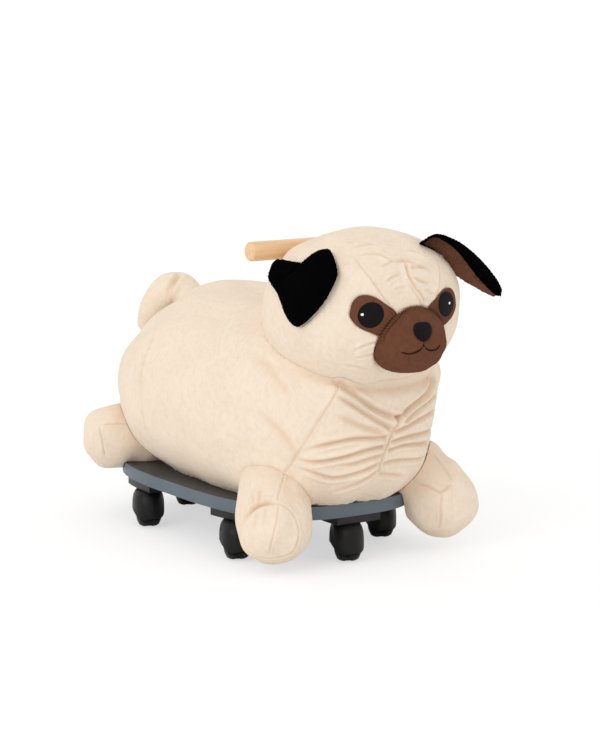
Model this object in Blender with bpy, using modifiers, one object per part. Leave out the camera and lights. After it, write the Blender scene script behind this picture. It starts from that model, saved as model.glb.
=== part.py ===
"""Ride-on dog toy: a plush pug on a painted board with six swivelling twin-wheel casters and a beech handle.

Metres, +Z up, floor at Z = 0. The dog looks along -Y and its left side is +X. The origin lies on the floor,
under the middle of the whole toy.
"""

import math

import bmesh
import bpy
from mathutils import Matrix, Vector

# Board
BOARD_LENGTH = 0.436
BOARD_WIDTH = 0.258
BOARD_THICKNESS = 0.016
BOARD_SQUARENESS = 3.0  # exponent of the superellipse outline: 2 is an ellipse
BOARD_EDGE_ROUND = 0.0015
BOARD_SHIFT = 0.0534  # from the middle of the whole toy back to the middle of the board

# Caster blocks under the board
BLOCK_THICKNESS = 0.0092
BLOCK_WIDTH = 0.062
BLOCK_FRONT = 0.042  # pivot to the flat front
BLOCK_EDGE_INSET = 0.0015  # block side inside the board's edge
SIDE_CASTER_INSET = 0.024  # board side to pivot
SIDE_CASTER_SPACING = 0.210  # front pivot to rear pivot along one side
END_CASTER_INSET = 0.033  # board end to the pivot on the centre line

# Casters
WHEEL_RADIUS = 0.0185
WHEEL_WIDTH = 0.0135
WHEEL_BORE_DEPTH = 0.010
AXLE_RADIUS = 0.0020
STEM_RADIUS = 0.0040
STEM_IN_HOOD = 0.018
STEM_IN_BLOCK = 0.0070
TRAIL = 0.0276  # swivel axis to axle
HOOD_WALL = 0.0024
HOOD_BACK = 0.0150  # swivel axis to the back of the hood
HOOD_SKIRT = 0.0125  # floor to the hood's lower edge
HOOD_TOP = 0.0452
WEB_THICKNESS = 0.0046
CASTER_HEADING = math.radians(206.6)  # the way the casters trail at rest, from +Y towards +X

# Handle and the panel that carries it
HANDLE_LENGTH = 0.219
HANDLE_DIAMETER = 0.023
HANDLE_END_ROUND = 0.004
HANDLE_HEIGHT = 0.2980  # board top to the handle's axis
HANDLE_PLACE = 0.073  # board front end back to the handle's axis
PANEL_THICKNESS = 0.018
PANEL_DEPTH = 0.060  # front to back
PANEL_TOP_DROP = 0.006  # handle axis down to the panel's top corner
NOTCH_TILT = math.radians(45)  # the notch opens backwards and up
SCREW_RADIUS = 0.0022
SCREW_HEAD_RADIUS = 0.0045
SCREW_LENGTH = 0.055
PANEL_SCREW_SPACING = 0.032

# Plush body
BODY_HALF_WIDTH = 0.152
BODY_FRONT = 0.258  # widest section forwards to the chest
BODY_REAR = 0.222  # widest section back to the rump
BODY_TOP = 0.130  # widest level up to the back
BODY_BOTTOM = 0.134  # widest level down, before the board cuts it
BODY_RISE = 0.109  # board top to the widest level
BODY_PLACE = 0.016  # board middle forwards to the widest section

# Plush head
HEAD_HALF_WIDTH = 0.116
HEAD_FRONT = 0.100
HEAD_REAR = 0.099
HEAD_TOP = 0.094
HEAD_BOTTOM = 0.098
HEAD_RISE = 0.124  # body's widest level up to the head's middle
HEAD_PLACE = 0.203  # body's widest section forwards to the head's middle
HEAD_LEAN = 0.09  # forward shift of the crown for each metre of height

# Muzzle, nose, eyes
MUZZLE_HALF_WIDTH = 0.043
MUZZLE_REACH = 0.036
MUZZLE_HALF_HEIGHT = 0.037
MUZZLE_DIRECTION = (0.0, -0.966, -0.26)
MUZZLE_SINK = 0.008
NOSE_HALF_WIDTH = 0.0115
NOSE_HALF_HEIGHT = 0.0105
NOSE_PROUD = 0.006
NOSE_DIRECTION = (0.0, -0.94, 0.33)
PATCH_HALF_WIDTH = 0.031
PATCH_HALF_HEIGHT = 0.024
PATCH_PROUD = 0.0035
PATCH_DIRECTION = (0.40, -0.91, 0.05)
EYE_RADIUS = 0.0170
EYE_PROUD = 0.0055
EYE_DIRECTION = (0.42, -0.90, 0.075)

# Ears
RIGHT_EAR_MIDDLE = (-0.890, -0.255, 0.345)  # lies folded down on the head
RIGHT_EAR_HALF_WIDTH = 0.044
RIGHT_EAR_HALF_LENGTH = 0.056
RIGHT_EAR_PROUD = 0.010
RIGHT_EAR_TAPER = 0.40  # wide at its seam above, narrow at its tip
LEFT_EAR_ROOT = (0.40, -0.52, 0.75)
LEFT_EAR_REACH = (0.855, -0.05, -0.515)  # flung out to the side
LEFT_EAR_FACE = (0.42, 0.38, 0.82)
LEFT_EAR_HALF_WIDTH = 0.027
LEFT_EAR_HALF_THICKNESS = 0.0065
LEFT_EAR_HALF_LENGTH = 0.064
LEFT_EAR_SEWN_IN = 0.012  # length inside the seam

# Legs: places on the dog's left, from the floor under the board's middle
FRONT_LEG_RADIUS = 0.0430
FRONT_PAW = (0.1214, -0.219, 0.0575)
FRONT_SHOULDER = (0.088, -0.162, 0.120)
REAR_LEG_RADIUS = 0.0370
REAR_PAW = (0.116, 0.174, 0.096)
REAR_HIP = (0.052, 0.142, 0.112)
LEG_TAPER = -0.05

# Tail: root to tip, from the floor under the board's middle
TAIL_RADIUS = 0.0170
TAIL_PATH = ((0.004, 0.160, 0.248), (0.008, 0.206, 0.290), (-0.014, 0.222, 0.284), (-0.031, 0.226, 0.260))
TAIL_PATH += ((-0.042, 0.228, 0.230),)
TAIL_SWELL = (0.8, 1.0, 1.05, 0.95, 0.5)

# Clearances
SEAT_GAP = 0.0003  # between pieces that rest on each other
PLUSH_GAP = 0.0006  # between a plush piece and what it is sewn to or wrapped round
FIXED_FIT = 0.00005  # pins that stay fast in their holes
RUNNING_FIT = 0.0001  # pins that turn
WHEEL_CLEARANCE = 0.0013
AXLE_END_PLAY = 0.0006

# Facets
BOARD_STEPS = 72
PIN_STEPS = 16
WHEEL_STEPS = 18

# Places that follow from the sizes
BLOCK_BOTTOM = HOOD_TOP + SEAT_GAP
BOARD_BOTTOM = BLOCK_BOTTOM + BLOCK_THICKNESS + SEAT_GAP
BOARD_TOP = BOARD_BOTTOM + BOARD_THICKNESS
BOARD_MIDDLE = Vector((0.0, BOARD_SHIFT, 0.0))
HANDLE_AXIS = Vector((0.0, BOARD_SHIFT - BOARD_LENGTH / 2 + HANDLE_PLACE, BOARD_TOP + HANDLE_HEIGHT))
NOTCH_WAY = Vector((0.0, math.sin(NOTCH_TILT), math.cos(NOTCH_TILT)))  # out of the notch


def empty_scene():
    for thing in list(bpy.data.objects):
        bpy.data.objects.remove(thing)


def new_collection(name, helper=False):
    collection = bpy.data.collections.new(name)
    collection.hide_render = helper
    bpy.context.scene.collection.children.link(collection)
    return collection


def material(name, colour, roughness, metallic=0.0):
    """A plain finish; colour is an sRGB hex value."""
    made = bpy.data.materials.new(name)
    made.use_nodes = True
    srgb = [int(colour[i : i + 2], 16) / 255 for i in (0, 2, 4)]
    linear = [c / 12.92 if c <= 0.04045 else ((c + 0.055) / 1.055) ** 2.4 for c in srgb]
    shader = made.node_tree.nodes["Principled BSDF"]
    shader.inputs["Base Color"].default_value = (*linear, 1.0)
    shader.inputs["Roughness"].default_value = roughness
    shader.inputs["Metallic"].default_value = metallic
    return made


empty_scene()
PARTS = new_collection("ride_on_dog")
CUTTERS = new_collection("cutters", helper=True)
PAINT = material("slate paint on fibreboard", "5F6D7A", 0.5)
BLACK_PLASTIC = material("black moulded nylon", "26262A", 0.45)
TYRE_PLASTIC = material("dark wheel plastic", "1D1D20", 0.5)
STEEL = material("zinc-plated steel", "B8BABD", 0.3, 1.0)
BEECH = material("lacquered beech", "DDB07C", 0.4)
PLYWOOD = material("birch plywood", "D9BE93", 0.6)
CREAM_PLUSH = material("cream plush", "EEDFC8", 0.95)
BROWN_PLUSH = material("brown plush", "6F4B38", 0.95)
BLACK_PLUSH = material("black plush", "120F10", 0.95)
EYE_FELT = material("black embroidery", "241F22", 0.7)


def add_object(name, mesh, finish=None, smooth_angle=35):
    """An object in the parts collection, or among the cutters where it has no finish."""
    made = bpy.data.objects.new(name, mesh)
    if finish is None:
        made.hide_render = True
        made.display_type = "WIRE"
        CUTTERS.objects.link(made)
        return made
    mesh.materials.clear()
    mesh.materials.append(finish)
    mesh.shade_smooth()
    mesh.set_sharp_from_angle(angle=math.radians(smooth_angle))
    PARTS.objects.link(made)
    return made


def cut(target, cutter, operation="DIFFERENCE"):
    modifier = target.modifiers.new(f"{operation.lower()} {cutter.name}", "BOOLEAN")
    modifier.operation = operation
    modifier.object = cutter
    modifier.solver = "EXACT"


def round_edges(target, width, segments=2, angle=40):
    modifier = target.modifiers.new("rounded edges", "BEVEL")
    modifier.width = width
    modifier.segments = segments
    modifier.limit_method = "ANGLE"
    modifier.angle_limit = math.radians(angle)


def plate_mesh(name, outline, thickness):
    """A flat outline in its XY plane, extruded to both sides of it."""
    curve = bpy.data.curves.new(name, "CURVE")
    curve.dimensions = "2D"
    curve.fill_mode = "BOTH"
    curve.extrude = thickness / 2
    spline = curve.splines.new("POLY")
    spline.points.add(len(outline) - 1)
    for point, (x, y) in zip(spline.points, outline):
        point.co = (x, y, 0.0, 1.0)
    spline.use_cyclic_u = True
    guide = bpy.data.objects.new(name, curve)
    CUTTERS.objects.link(guide)
    graph = bpy.context.evaluated_depsgraph_get()
    mesh = bpy.data.meshes.new_from_object(guide.evaluated_get(graph))
    bpy.data.objects.remove(guide)
    bpy.data.curves.remove(curve)
    bm = bmesh.new()
    bm.from_mesh(mesh)
    bmesh.ops.remove_doubles(bm, verts=bm.verts, dist=1e-6)
    bmesh.ops.recalc_face_normals(bm, faces=bm.faces)
    bm.to_mesh(mesh)
    bm.free()
    return mesh


def turned_mesh(name, profile):
    """The half profile of a turned shape, (radius, height) from its top down its outer side."""
    mesh = bpy.data.meshes.new(name)
    points = [(radius, 0.0, height) for radius, height in profile]
    mesh.from_pydata(points, [(i, i + 1) for i in range(len(points) - 1)], [])
    return mesh


def turn(target, steps):
    modifier = target.modifiers.new("turned", "SCREW")
    modifier.steps = steps
    modifier.render_steps = steps
    modifier.use_merge_vertices = True
    modifier.merge_threshold = 1e-6
    modifier.use_smooth_shade = True


def pin(name, radius, low, high, finish=None, steps=PIN_STEPS):
    """A turned pin on its own Z axis from low to high."""
    made = add_object(name, turned_mesh(name, [(0, high), (radius, high), (radius, low), (0, low)]), finish)
    turn(made, steps)
    return made


def aim(target, way, at=(0, 0, 0), across=Vector((1, 0, 0))):
    """Turns the object's Z axis to a way, and its X axis as near to another way as that allows."""
    z_axis = Vector(way).normalized()
    y_axis = z_axis.cross(Vector(across)).normalized()
    x_axis = y_axis.cross(z_axis)
    turned = Matrix((x_axis, y_axis, z_axis)).transposed().to_4x4()
    target.matrix_world = Matrix.Translation(Vector(at)) @ turned


def superellipse(width, length, power, steps, inset=0.0):
    """Points of |x/a|^p + |y/b|^p = 1, with the same turn between them as seen from the middle."""
    points = []
    for step in range(steps):
        angle = 2 * math.pi * step / steps
        along, side = math.cos(angle), math.sin(angle)
        reach = (abs(along) ** power + abs(side) ** power) ** (-1 / power)
        points.append(((width / 2 - inset) * reach * along, (length / 2 - inset) * reach * side))
    return points


def form(centre, half_width, front, rear, top, bottom, plan=2.0, profile=2.0, **more):
    """Sizes of one stuffed form from its widest section, with the exponents of its superellipses."""
    made = dict(centre=Vector(centre), half_width=half_width, front=front, rear=rear, top=top, bottom=bottom)
    made.update(plan=plan, profile=profile, front_profile=profile, rear_profile=profile)
    made.update(lean=0.0, taper=0.0, axes=Matrix.Identity(3))
    made.update(more)
    return made


def form_point(shape, direction, grow=0.0):
    """The form's surface seen from its centre in a direction: a superellipse in plan carried up another."""
    x, y, z = Vector(direction).normalized()
    level = math.hypot(x, y)
    side, along = (x / level, y / level) if level > 1e-6 else (1.0, 0.0)
    end_profile = shape["front_profile"] if along < 0 else shape["rear_profile"]
    profile = shape["profile"] + (end_profile - shape["profile"]) * along**2
    plan = shape["plan"]
    around = (abs(side) ** plan + abs(along) ** plan) ** (-1 / plan)
    out = level * (level**profile + abs(z) ** profile) ** (-1 / profile)
    up = z * (level**profile + abs(z) ** profile) ** (-1 / profile)
    height = up * ((shape["top"] if up > 0 else shape["bottom"]) + grow)
    swell = 1 + shape["taper"] * up
    length = (shape["front"] if along < 0 else shape["rear"]) + grow
    across = out * around * side * (shape["half_width"] + grow) * swell
    forwards = out * around * along * length * swell - shape["lean"] * height
    local = Vector((across, forwards, height))
    return shape["centre"] + shape["axes"] @ local


def form_mesh(name, shape, steps, rings, grow=0.0):
    bm = bmesh.new()
    bmesh.ops.create_uvsphere(bm, u_segments=steps, v_segments=rings, radius=1.0)
    for vertex in bm.verts:
        vertex.co = form_point(shape, vertex.co, grow)
    mesh = bpy.data.meshes.new(name)
    bm.to_mesh(mesh)
    bm.free()
    return mesh


def stuffed(name, shape, finish, steps=20, rings=12):
    """A stuffed piece, with the slightly larger cutter that makes room for it in smaller pieces."""
    piece = add_object(name, form_mesh(name, shape, steps, rings), finish)
    room = add_object(f"{name}_room", form_mesh(f"{name}_room", shape, steps, rings, PLUSH_GAP))
    return piece, room


def axes_of(down, face):
    """Axes of a form whose foot points down a way and whose back faces another."""
    z_axis = -Vector(down).normalized()
    x_axis = Vector(face).cross(z_axis).normalized()
    return Matrix((x_axis, z_axis.cross(x_axis), z_axis)).transposed()


def mirrored(direction, side):
    return Vector((direction[0] * side, direction[1], direction[2]))


def base_board():
    outline = superellipse(BOARD_WIDTH, BOARD_LENGTH, BOARD_SQUARENESS, BOARD_STEPS)
    board = add_object("base_board", plate_mesh("base_board", outline, BOARD_THICKNESS), PAINT)
    board.location = BOARD_MIDDLE + Vector((0, 0, BOARD_BOTTOM + BOARD_THICKNESS / 2))
    round_edges(board, BOARD_EDGE_ROUND)
    return board


def board_room():
    """The board's space, kept clear by the plush that hangs over its edge."""
    outline = superellipse(BOARD_WIDTH, BOARD_LENGTH, BOARD_SQUARENESS, BOARD_STEPS, -PLUSH_GAP)
    room = add_object("board_room", plate_mesh("board_room", outline, BOARD_THICKNESS + 2 * PLUSH_GAP))
    room.location = BOARD_MIDDLE + Vector((0, 0, BOARD_BOTTOM + BOARD_THICKNESS / 2))
    return room


def block_outline(steps=12):
    """Flat front with square corners at -Y, half round at the back."""
    radius = BLOCK_WIDTH / 2
    points = [(-radius, -BLOCK_FRONT), (radius, -BLOCK_FRONT)]
    for step in range(steps + 1):
        angle = math.pi * step / steps
        points.append((radius * math.cos(angle), radius * math.sin(angle)))
    return points


def caster_places():
    """Name and pivot of each caster. The dog's left is +X."""
    side = BOARD_WIDTH / 2 - SIDE_CASTER_INSET
    end = BOARD_LENGTH / 2 - END_CASTER_INSET
    half = SIDE_CASTER_SPACING / 2
    return {
        "front": Vector((0, BOARD_SHIFT - end, 0)),
        "front_left": Vector((side, BOARD_SHIFT - half, 0)),
        "front_right": Vector((-side, BOARD_SHIFT - half, 0)),
        "rear_left": Vector((side, BOARD_SHIFT + half, 0)),
        "rear_right": Vector((-side, BOARD_SHIFT + half, 0)),
        "rear": Vector((0, BOARD_SHIFT + end, 0)),
    }


def caster_block(name, pivot, trim):
    plate = plate_mesh(f"{name}_block", block_outline(), BLOCK_THICKNESS)
    block = add_object(f"{name}_block", plate, BLACK_PLASTIC)
    block.location = pivot + Vector((0, 0, BLOCK_BOTTOM + BLOCK_THICKNESS / 2))
    cut(block, trim, "INTERSECT")
    socket_top = BLOCK_BOTTOM + STEM_IN_BLOCK + RUNNING_FIT
    socket = pin(f"{name}_socket", STEM_RADIUS + RUNNING_FIT, BLOCK_BOTTOM - BLOCK_THICKNESS, socket_top)
    socket.location = pivot
    cut(block, socket)


def caster_blocks():
    outline = superellipse(BOARD_WIDTH, BOARD_LENGTH, BOARD_SQUARENESS, BOARD_STEPS, BLOCK_EDGE_INSET)
    trim = add_object("block_trim", plate_mesh("block_trim", outline, 4 * BLOCK_THICKNESS))
    trim.location = BOARD_MIDDLE + Vector((0, 0, BLOCK_BOTTOM + BLOCK_THICKNESS / 2))
    for name, pivot in caster_places().items():
        caster_block(name, pivot, trim)


def wheel_profile(grow=0.0, bore=True):
    """The domed half of a twin wheel: its flat inner face lies at height 0."""
    radius, width = WHEEL_RADIUS + grow, WHEEL_WIDTH + grow
    points = [(0, width), (0.55 * radius, width - 0.06 * WHEEL_WIDTH), (0.86 * radius, 0.68 * width)]
    points += [(radius, 0.34 * width), (radius, -grow)]
    if bore:
        hole = AXLE_RADIUS + RUNNING_FIT
        points += [(hole, 0), (hole, WHEEL_BORE_DEPTH), (0, WHEEL_BORE_DEPTH)]
    else:
        points.append((0, -grow))
    return points


def hood_form():
    front = TRAIL + WHEEL_RADIUS + WHEEL_CLEARANCE + HOOD_WALL
    half_width = WEB_THICKNESS / 2 + AXLE_END_PLAY + WHEEL_WIDTH + WHEEL_CLEARANCE + HOOD_WALL
    middle = (front - HOOD_BACK) / 2
    reach = (front + HOOD_BACK) / 2
    widest = WHEEL_RADIUS + WHEEL_CLEARANCE
    return form((0, middle, widest), half_width, reach, reach, 1.12 * (HOOD_TOP - widest), widest, 2.3, 2.5)


def box_mesh(name, low, high):
    bm = bmesh.new()
    bmesh.ops.create_cube(bm, size=1.0)
    low, high = Vector(low), Vector(high)
    bmesh.ops.scale(bm, vec=high - low, verts=bm.verts)
    bmesh.ops.translate(bm, vec=(low + high) / 2, verts=bm.verts)
    mesh = bpy.data.meshes.new(name)
    bm.to_mesh(mesh)
    bm.free()
    return mesh


def caster_meshes():
    """Shapes that all six casters share, with the swivel axis on Z and the axle at +Y."""
    reach = 2 * (TRAIL + WHEEL_RADIUS)
    return {
        "hood": form_mesh("hood", hood_form(), 16, 12),
        "level": box_mesh("hood_level", (-reach, -reach, HOOD_SKIRT), (reach, reach, HOOD_TOP)),
        "pocket": turned_mesh("wheel_pocket", wheel_profile(WHEEL_CLEARANCE, bore=False)),
        "wheel": turned_mesh("wheel", wheel_profile()),
    }


def at_caster(thing, carrier):
    """Hangs the object on the caster's own axes without moving its place in them."""
    thing.parent = carrier
    return thing


def caster(name, pivot, meshes):
    carrier = bpy.data.objects.new(f"{name}_swivel_axis", None)
    PARTS.objects.link(carrier)
    carrier.location = pivot
    carrier.rotation_euler.z = -CASTER_HEADING
    axle_at = Vector((0, TRAIL, WHEEL_RADIUS))
    hood = at_caster(add_object(f"{name}_hood", meshes["hood"].copy(), BLACK_PLASTIC), carrier)
    cut(hood, at_caster(add_object(f"{name}_hood_level", meshes["level"]), carrier), "INTERSECT")
    for side, label in ((1, "left"), (-1, "right")):
        inner = axle_at + Vector((side * (WEB_THICKNESS / 2 + AXLE_END_PLAY), 0, 0))
        pocket = add_object(f"{name}_pocket_{label}", meshes["pocket"])
        turn(pocket, WHEEL_STEPS)
        wheel = add_object(f"{name}_wheel_{label}", meshes["wheel"].copy(), TYRE_PLASTIC)
        turn(wheel, WHEEL_STEPS)
        for thing in (pocket, wheel):
            aim(thing, (side, 0, 0), inner, (0, 0, 1))
            at_caster(thing, carrier)
        pocket.location.x += side * (WHEEL_CLEARANCE - AXLE_END_PLAY)
        cut(hood, pocket)
    axle_end = WEB_THICKNESS / 2 + WHEEL_BORE_DEPTH
    axle = pin(f"{name}_axle", AXLE_RADIUS, -axle_end, axle_end, STEEL)
    axle_hole = pin(f"{name}_axle_hole", AXLE_RADIUS + FIXED_FIT, -axle_end, axle_end)
    for thing in (axle, axle_hole):
        aim(thing, (1, 0, 0), axle_at, (0, 0, 1))
        at_caster(thing, carrier)
    cut(hood, axle_hole)
    stem = pin(f"{name}_stem", STEM_RADIUS, HOOD_TOP - STEM_IN_HOOD, BLOCK_BOTTOM + STEM_IN_BLOCK, STEEL)
    stem_low = HOOD_TOP - STEM_IN_HOOD - SEAT_GAP
    stem_hole = pin(f"{name}_stem_hole", STEM_RADIUS + FIXED_FIT, stem_low, HOOD_TOP + BLOCK_THICKNESS)
    at_caster(stem, carrier)
    cut(hood, at_caster(stem_hole, carrier))


def casters():
    meshes = caster_meshes()
    for name, pivot in caster_places().items():
        caster(name, pivot, meshes)


def panel_outline(grow=0.0, sink=0.0):
    """The upright's side view, (back, up), without its notch."""
    back = HANDLE_AXIS.y + grow
    front = HANDLE_AXIS.y - PANEL_DEPTH - grow
    low = BOARD_TOP + SEAT_GAP - sink
    high = HANDLE_AXIS.z - PANEL_TOP_DROP + grow
    return [(back, low), (back, high), (front, high), (front, low)]


def upright_panel():
    """The plywood upright inside the neck, notched for the handle, and its room in the plush."""
    made = []
    for name, grow, sink, finish in (
        ("upright_panel", 0.0, 0.0, PLYWOOD),
        ("panel_room", PLUSH_GAP, BOARD_THICKNESS, None),
    ):
        mesh = plate_mesh(name, panel_outline(grow, sink), PANEL_THICKNESS + 2 * grow)
        mesh.transform(Matrix(((0, 0, 1, 0), (1, 0, 0, 0), (0, 1, 0, 0), (0, 0, 0, 1))))
        made.append(add_object(name, mesh, finish))
    return made


def handle_profile():
    radius, end = HANDLE_DIAMETER / 2, HANDLE_LENGTH / 2
    arc = []
    for step in range(4):
        angle = math.pi / 2 * step / 3
        arc.append((math.sin(angle), math.cos(angle)))
    rim = [(radius - HANDLE_END_ROUND * (1 - s), end - HANDLE_END_ROUND * (1 - c)) for s, c in arc]
    return [(0, end)] + rim + [(r, -h) for r, h in reversed(rim)] + [(0, -end)]


def handle(panel):
    dowel = add_object("handle_dowel", turned_mesh("handle_dowel", handle_profile()), BEECH)
    turn(dowel, 24)
    room = pin("handle_room", HANDLE_DIAMETER / 2 + PLUSH_GAP, -HANDLE_LENGTH, HANDLE_LENGTH, steps=24)
    seat = pin("handle_seat", HANDLE_DIAMETER / 2 + SEAT_GAP, -HANDLE_LENGTH, HANDLE_LENGTH, steps=24)
    for thing in (dowel, room, seat):
        aim(thing, (1, 0, 0), HANDLE_AXIS, NOTCH_WAY)
    cut(panel, seat)
    outer = HANDLE_DIAMETER / 2 * math.cos(math.pi / 24)
    sink = 0.001
    top = outer - sink
    screw_profile = [(0, top), (SCREW_HEAD_RADIUS, top), (SCREW_RADIUS, top - 0.003)]
    screw_profile += [(SCREW_RADIUS, outer - SCREW_LENGTH), (0, outer - SCREW_LENGTH - SCREW_RADIUS)]
    screw = add_object("handle_screw", turned_mesh("handle_screw", screw_profile), STEEL)
    hole_profile = [(0, outer + 0.002), (SCREW_HEAD_RADIUS + FIXED_FIT, outer + 0.002)]
    hole_profile.append((SCREW_HEAD_RADIUS + FIXED_FIT, top))
    hole_profile += [(radius + FIXED_FIT, height - FIXED_FIT) for radius, height in screw_profile[2:4]]
    hole_profile.append((0, outer - SCREW_LENGTH - SCREW_RADIUS - SEAT_GAP))
    hole = add_object("handle_screw_hole", turned_mesh("handle_screw_hole", hole_profile))
    for thing in (screw, hole):
        turn(thing, PIN_STEPS)
        aim(thing, NOTCH_WAY, HANDLE_AXIS)
    cut(dowel, hole)
    cut(panel, hole)
    return room


def panel_screws(board, panel):
    """Two long screws up through the board into the foot of the upright, heads flush underneath."""
    middle = HANDLE_AXIS.y - PANEL_DEPTH / 2
    head = SCREW_HEAD_RADIUS - SCREW_RADIUS
    for label, side in (("front", -1), ("rear", 1)):
        at = Vector((0, middle + side * PANEL_SCREW_SPACING / 2, BOARD_BOTTOM))
        profile = [(0, SCREW_LENGTH + SCREW_RADIUS), (SCREW_RADIUS, SCREW_LENGTH)]
        profile += [(SCREW_RADIUS, head + SEAT_GAP), (SCREW_HEAD_RADIUS, SEAT_GAP), (0, SEAT_GAP)]
        screw = add_object(f"panel_screw_{label}", turned_mesh("panel_screw", profile), STEEL)
        around = [(0, SCREW_LENGTH + SCREW_RADIUS + SEAT_GAP), (SCREW_RADIUS + FIXED_FIT, SCREW_LENGTH)]
        around += [(SCREW_RADIUS + FIXED_FIT, head + SEAT_GAP), (SCREW_HEAD_RADIUS + FIXED_FIT, SEAT_GAP)]
        around += [(SCREW_HEAD_RADIUS + FIXED_FIT, -BLOCK_THICKNESS), (0, -BLOCK_THICKNESS)]
        hole = add_object(f"panel_screw_hole_{label}", turned_mesh("panel_screw_hole", around))
        for thing in (screw, hole):
            turn(thing, PIN_STEPS)
            thing.location = at
        cut(board, hole)
        cut(panel, hole)


def body_form():
    centre = BOARD_MIDDLE + Vector((0, -BODY_PLACE, BOARD_TOP + BODY_RISE))
    sizes = (BODY_HALF_WIDTH, BODY_FRONT, BODY_REAR, BODY_TOP, BODY_BOTTOM)
    return form(centre, *sizes, plan=2.7, profile=2.05, front_profile=3.1, rear_profile=2.35)


def plush_body(panel_room):
    shape = body_form()
    body, room = stuffed("plush_body", shape, CREAM_PLUSH, 36, 18)
    reach = BODY_FRONT + BODY_REAR
    low = BOARD_TOP + SEAT_GAP
    floor_box = box_mesh("body_base", (-reach, -reach, low - BODY_BOTTOM), (reach, reach, low))
    cut(body, add_object("body_base", floor_box))
    cut(body, panel_room)
    return shape, room


def head_form(body):
    centre = body["centre"] + Vector((0, -HEAD_PLACE, HEAD_RISE))
    sizes = (HEAD_HALF_WIDTH, HEAD_FRONT, HEAD_REAR, HEAD_TOP, HEAD_BOTTOM)
    return form(centre, *sizes, plan=2.35, profile=2.1, lean=HEAD_LEAN)


def plush_head(body, body_room, panel_room, handle_room):
    shape = head_form(body)
    head, room = stuffed("plush_head", shape, CREAM_PLUSH, 32, 18)
    for cutter in (body_room, panel_room, handle_room):
        cut(head, cutter)
    return shape, room


def applique_mesh(name, host, direction, half_width, half_height, proud, taper, steps, rings, grow=0.0):
    """A padded oval wrapped over a form, half of it under the surface, and wider above by its taper."""
    way = Vector(direction).normalized()
    reach = (form_point(host, way) - host["centre"]).length
    side_axis = Vector((0, 0, 1)).cross(way).normalized()
    up_axis = way.cross(side_axis)
    bm = bmesh.new()
    bmesh.ops.create_uvsphere(bm, u_segments=steps, v_segments=rings, radius=1.0)
    for vertex in bm.verts:
        across, along, out = vertex.co
        across *= (1 + taper * along) * (half_width + grow) / reach
        along *= (half_height + grow) / reach
        vertex.co = form_point(host, way + across * side_axis + along * up_axis, out * (proud + grow))
    mesh = bpy.data.meshes.new(name)
    bm.to_mesh(mesh)
    bm.free()
    return mesh


def applique(name, host, direction, half_width, half_height, proud, finish, taper=0.0, steps=16, rings=8):
    sizes = (host, direction, half_width, half_height, proud, taper, steps, rings)
    piece = add_object(name, applique_mesh(name, *sizes), finish)
    room = add_object(f"{name}_room", applique_mesh(f"{name}_room", *sizes, PLUSH_GAP))
    return piece, room


def muzzle(head, head_room):
    at = form_point(head, MUZZLE_DIRECTION) + Vector((0, MUZZLE_SINK, 0))
    sizes = (MUZZLE_HALF_WIDTH, MUZZLE_REACH, MUZZLE_REACH, MUZZLE_HALF_HEIGHT, MUZZLE_HALF_HEIGHT)
    shape = form(at, *sizes, 2.2, 2.2)
    piece, room = stuffed("muzzle", shape, BROWN_PLUSH)
    cut(piece, head_room)
    return shape, room


def face(head, head_room):
    muzzle_shape, muzzle_room = muzzle(head, head_room)
    nose_sizes = (NOSE_HALF_WIDTH, NOSE_HALF_HEIGHT, NOSE_PROUD)
    nose, _ = applique("nose", muzzle_shape, NOSE_DIRECTION, *nose_sizes, EYE_FELT)
    cut(nose, muzzle_room)
    cut(nose, head_room)
    for label, side in (("left", 1), ("right", -1)):
        patch_at = mirrored(PATCH_DIRECTION, side)
        patch_sizes = (PATCH_HALF_WIDTH, PATCH_HALF_HEIGHT, PATCH_PROUD)
        patch, patch_room = applique(f"eye_patch_{label}", head, patch_at, *patch_sizes, BROWN_PLUSH)
        cut(patch, head_room)
        cut(patch, muzzle_room)
        eye_at = mirrored(EYE_DIRECTION, side)
        eye, _ = applique(f"eye_{label}", head, eye_at, EYE_RADIUS, EYE_RADIUS, EYE_PROUD, EYE_FELT, 0.0, 20, 10)
        for cutter in (patch_room, head_room, muzzle_room):
            cut(eye, cutter)


def folded_ear(head, head_room):
    """The right ear lies over the side of the head like a flap."""
    sizes = (RIGHT_EAR_HALF_WIDTH, RIGHT_EAR_HALF_LENGTH, RIGHT_EAR_PROUD)
    ear, _ = applique("ear_right", head, RIGHT_EAR_MIDDLE, *sizes, BLACK_PLUSH, RIGHT_EAR_TAPER, 20, 10)
    cut(ear, head_room)


def flung_ear(head, head_room):
    """The left ear stands out sideways from its seam."""
    root = form_point(head, LEFT_EAR_ROOT)
    way = Vector(LEFT_EAR_REACH).normalized()
    middle = root + way * (LEFT_EAR_HALF_LENGTH - LEFT_EAR_SEWN_IN)
    thick, half = LEFT_EAR_HALF_THICKNESS, LEFT_EAR_HALF_LENGTH
    axes = axes_of(way, LEFT_EAR_FACE)
    shape = form(middle, LEFT_EAR_HALF_WIDTH, thick, thick, half, half, profile=2.6, axes=axes)
    ear, _ = stuffed("ear_left", shape, BLACK_PLUSH, 20, 10)
    cut(ear, head_room)


def legs(body_room, over_board):
    for end, paw, root, radius in (
        ("front", FRONT_PAW, FRONT_SHOULDER, FRONT_LEG_RADIUS),
        ("rear", REAR_PAW, REAR_HIP, REAR_LEG_RADIUS),
    ):
        for label, side in (("left", 1), ("right", -1)):
            foot = BOARD_MIDDLE + mirrored(paw, side)
            joint = BOARD_MIDDLE + mirrored(root, side)
            axis = (foot - joint).normalized()
            half = ((foot - joint).length + 2 * radius) / 2
            shape = form(
                (foot + joint) / 2, radius, radius, radius, half, half,
                profile=2.6, taper=LEG_TAPER, axes=axes_of(axis, (0, 0, 1)),
            )
            leg, _ = stuffed(f"{end}_leg_{label}", shape, CREAM_PLUSH)
            cut(leg, body_room)
            cut(leg, over_board)


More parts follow.
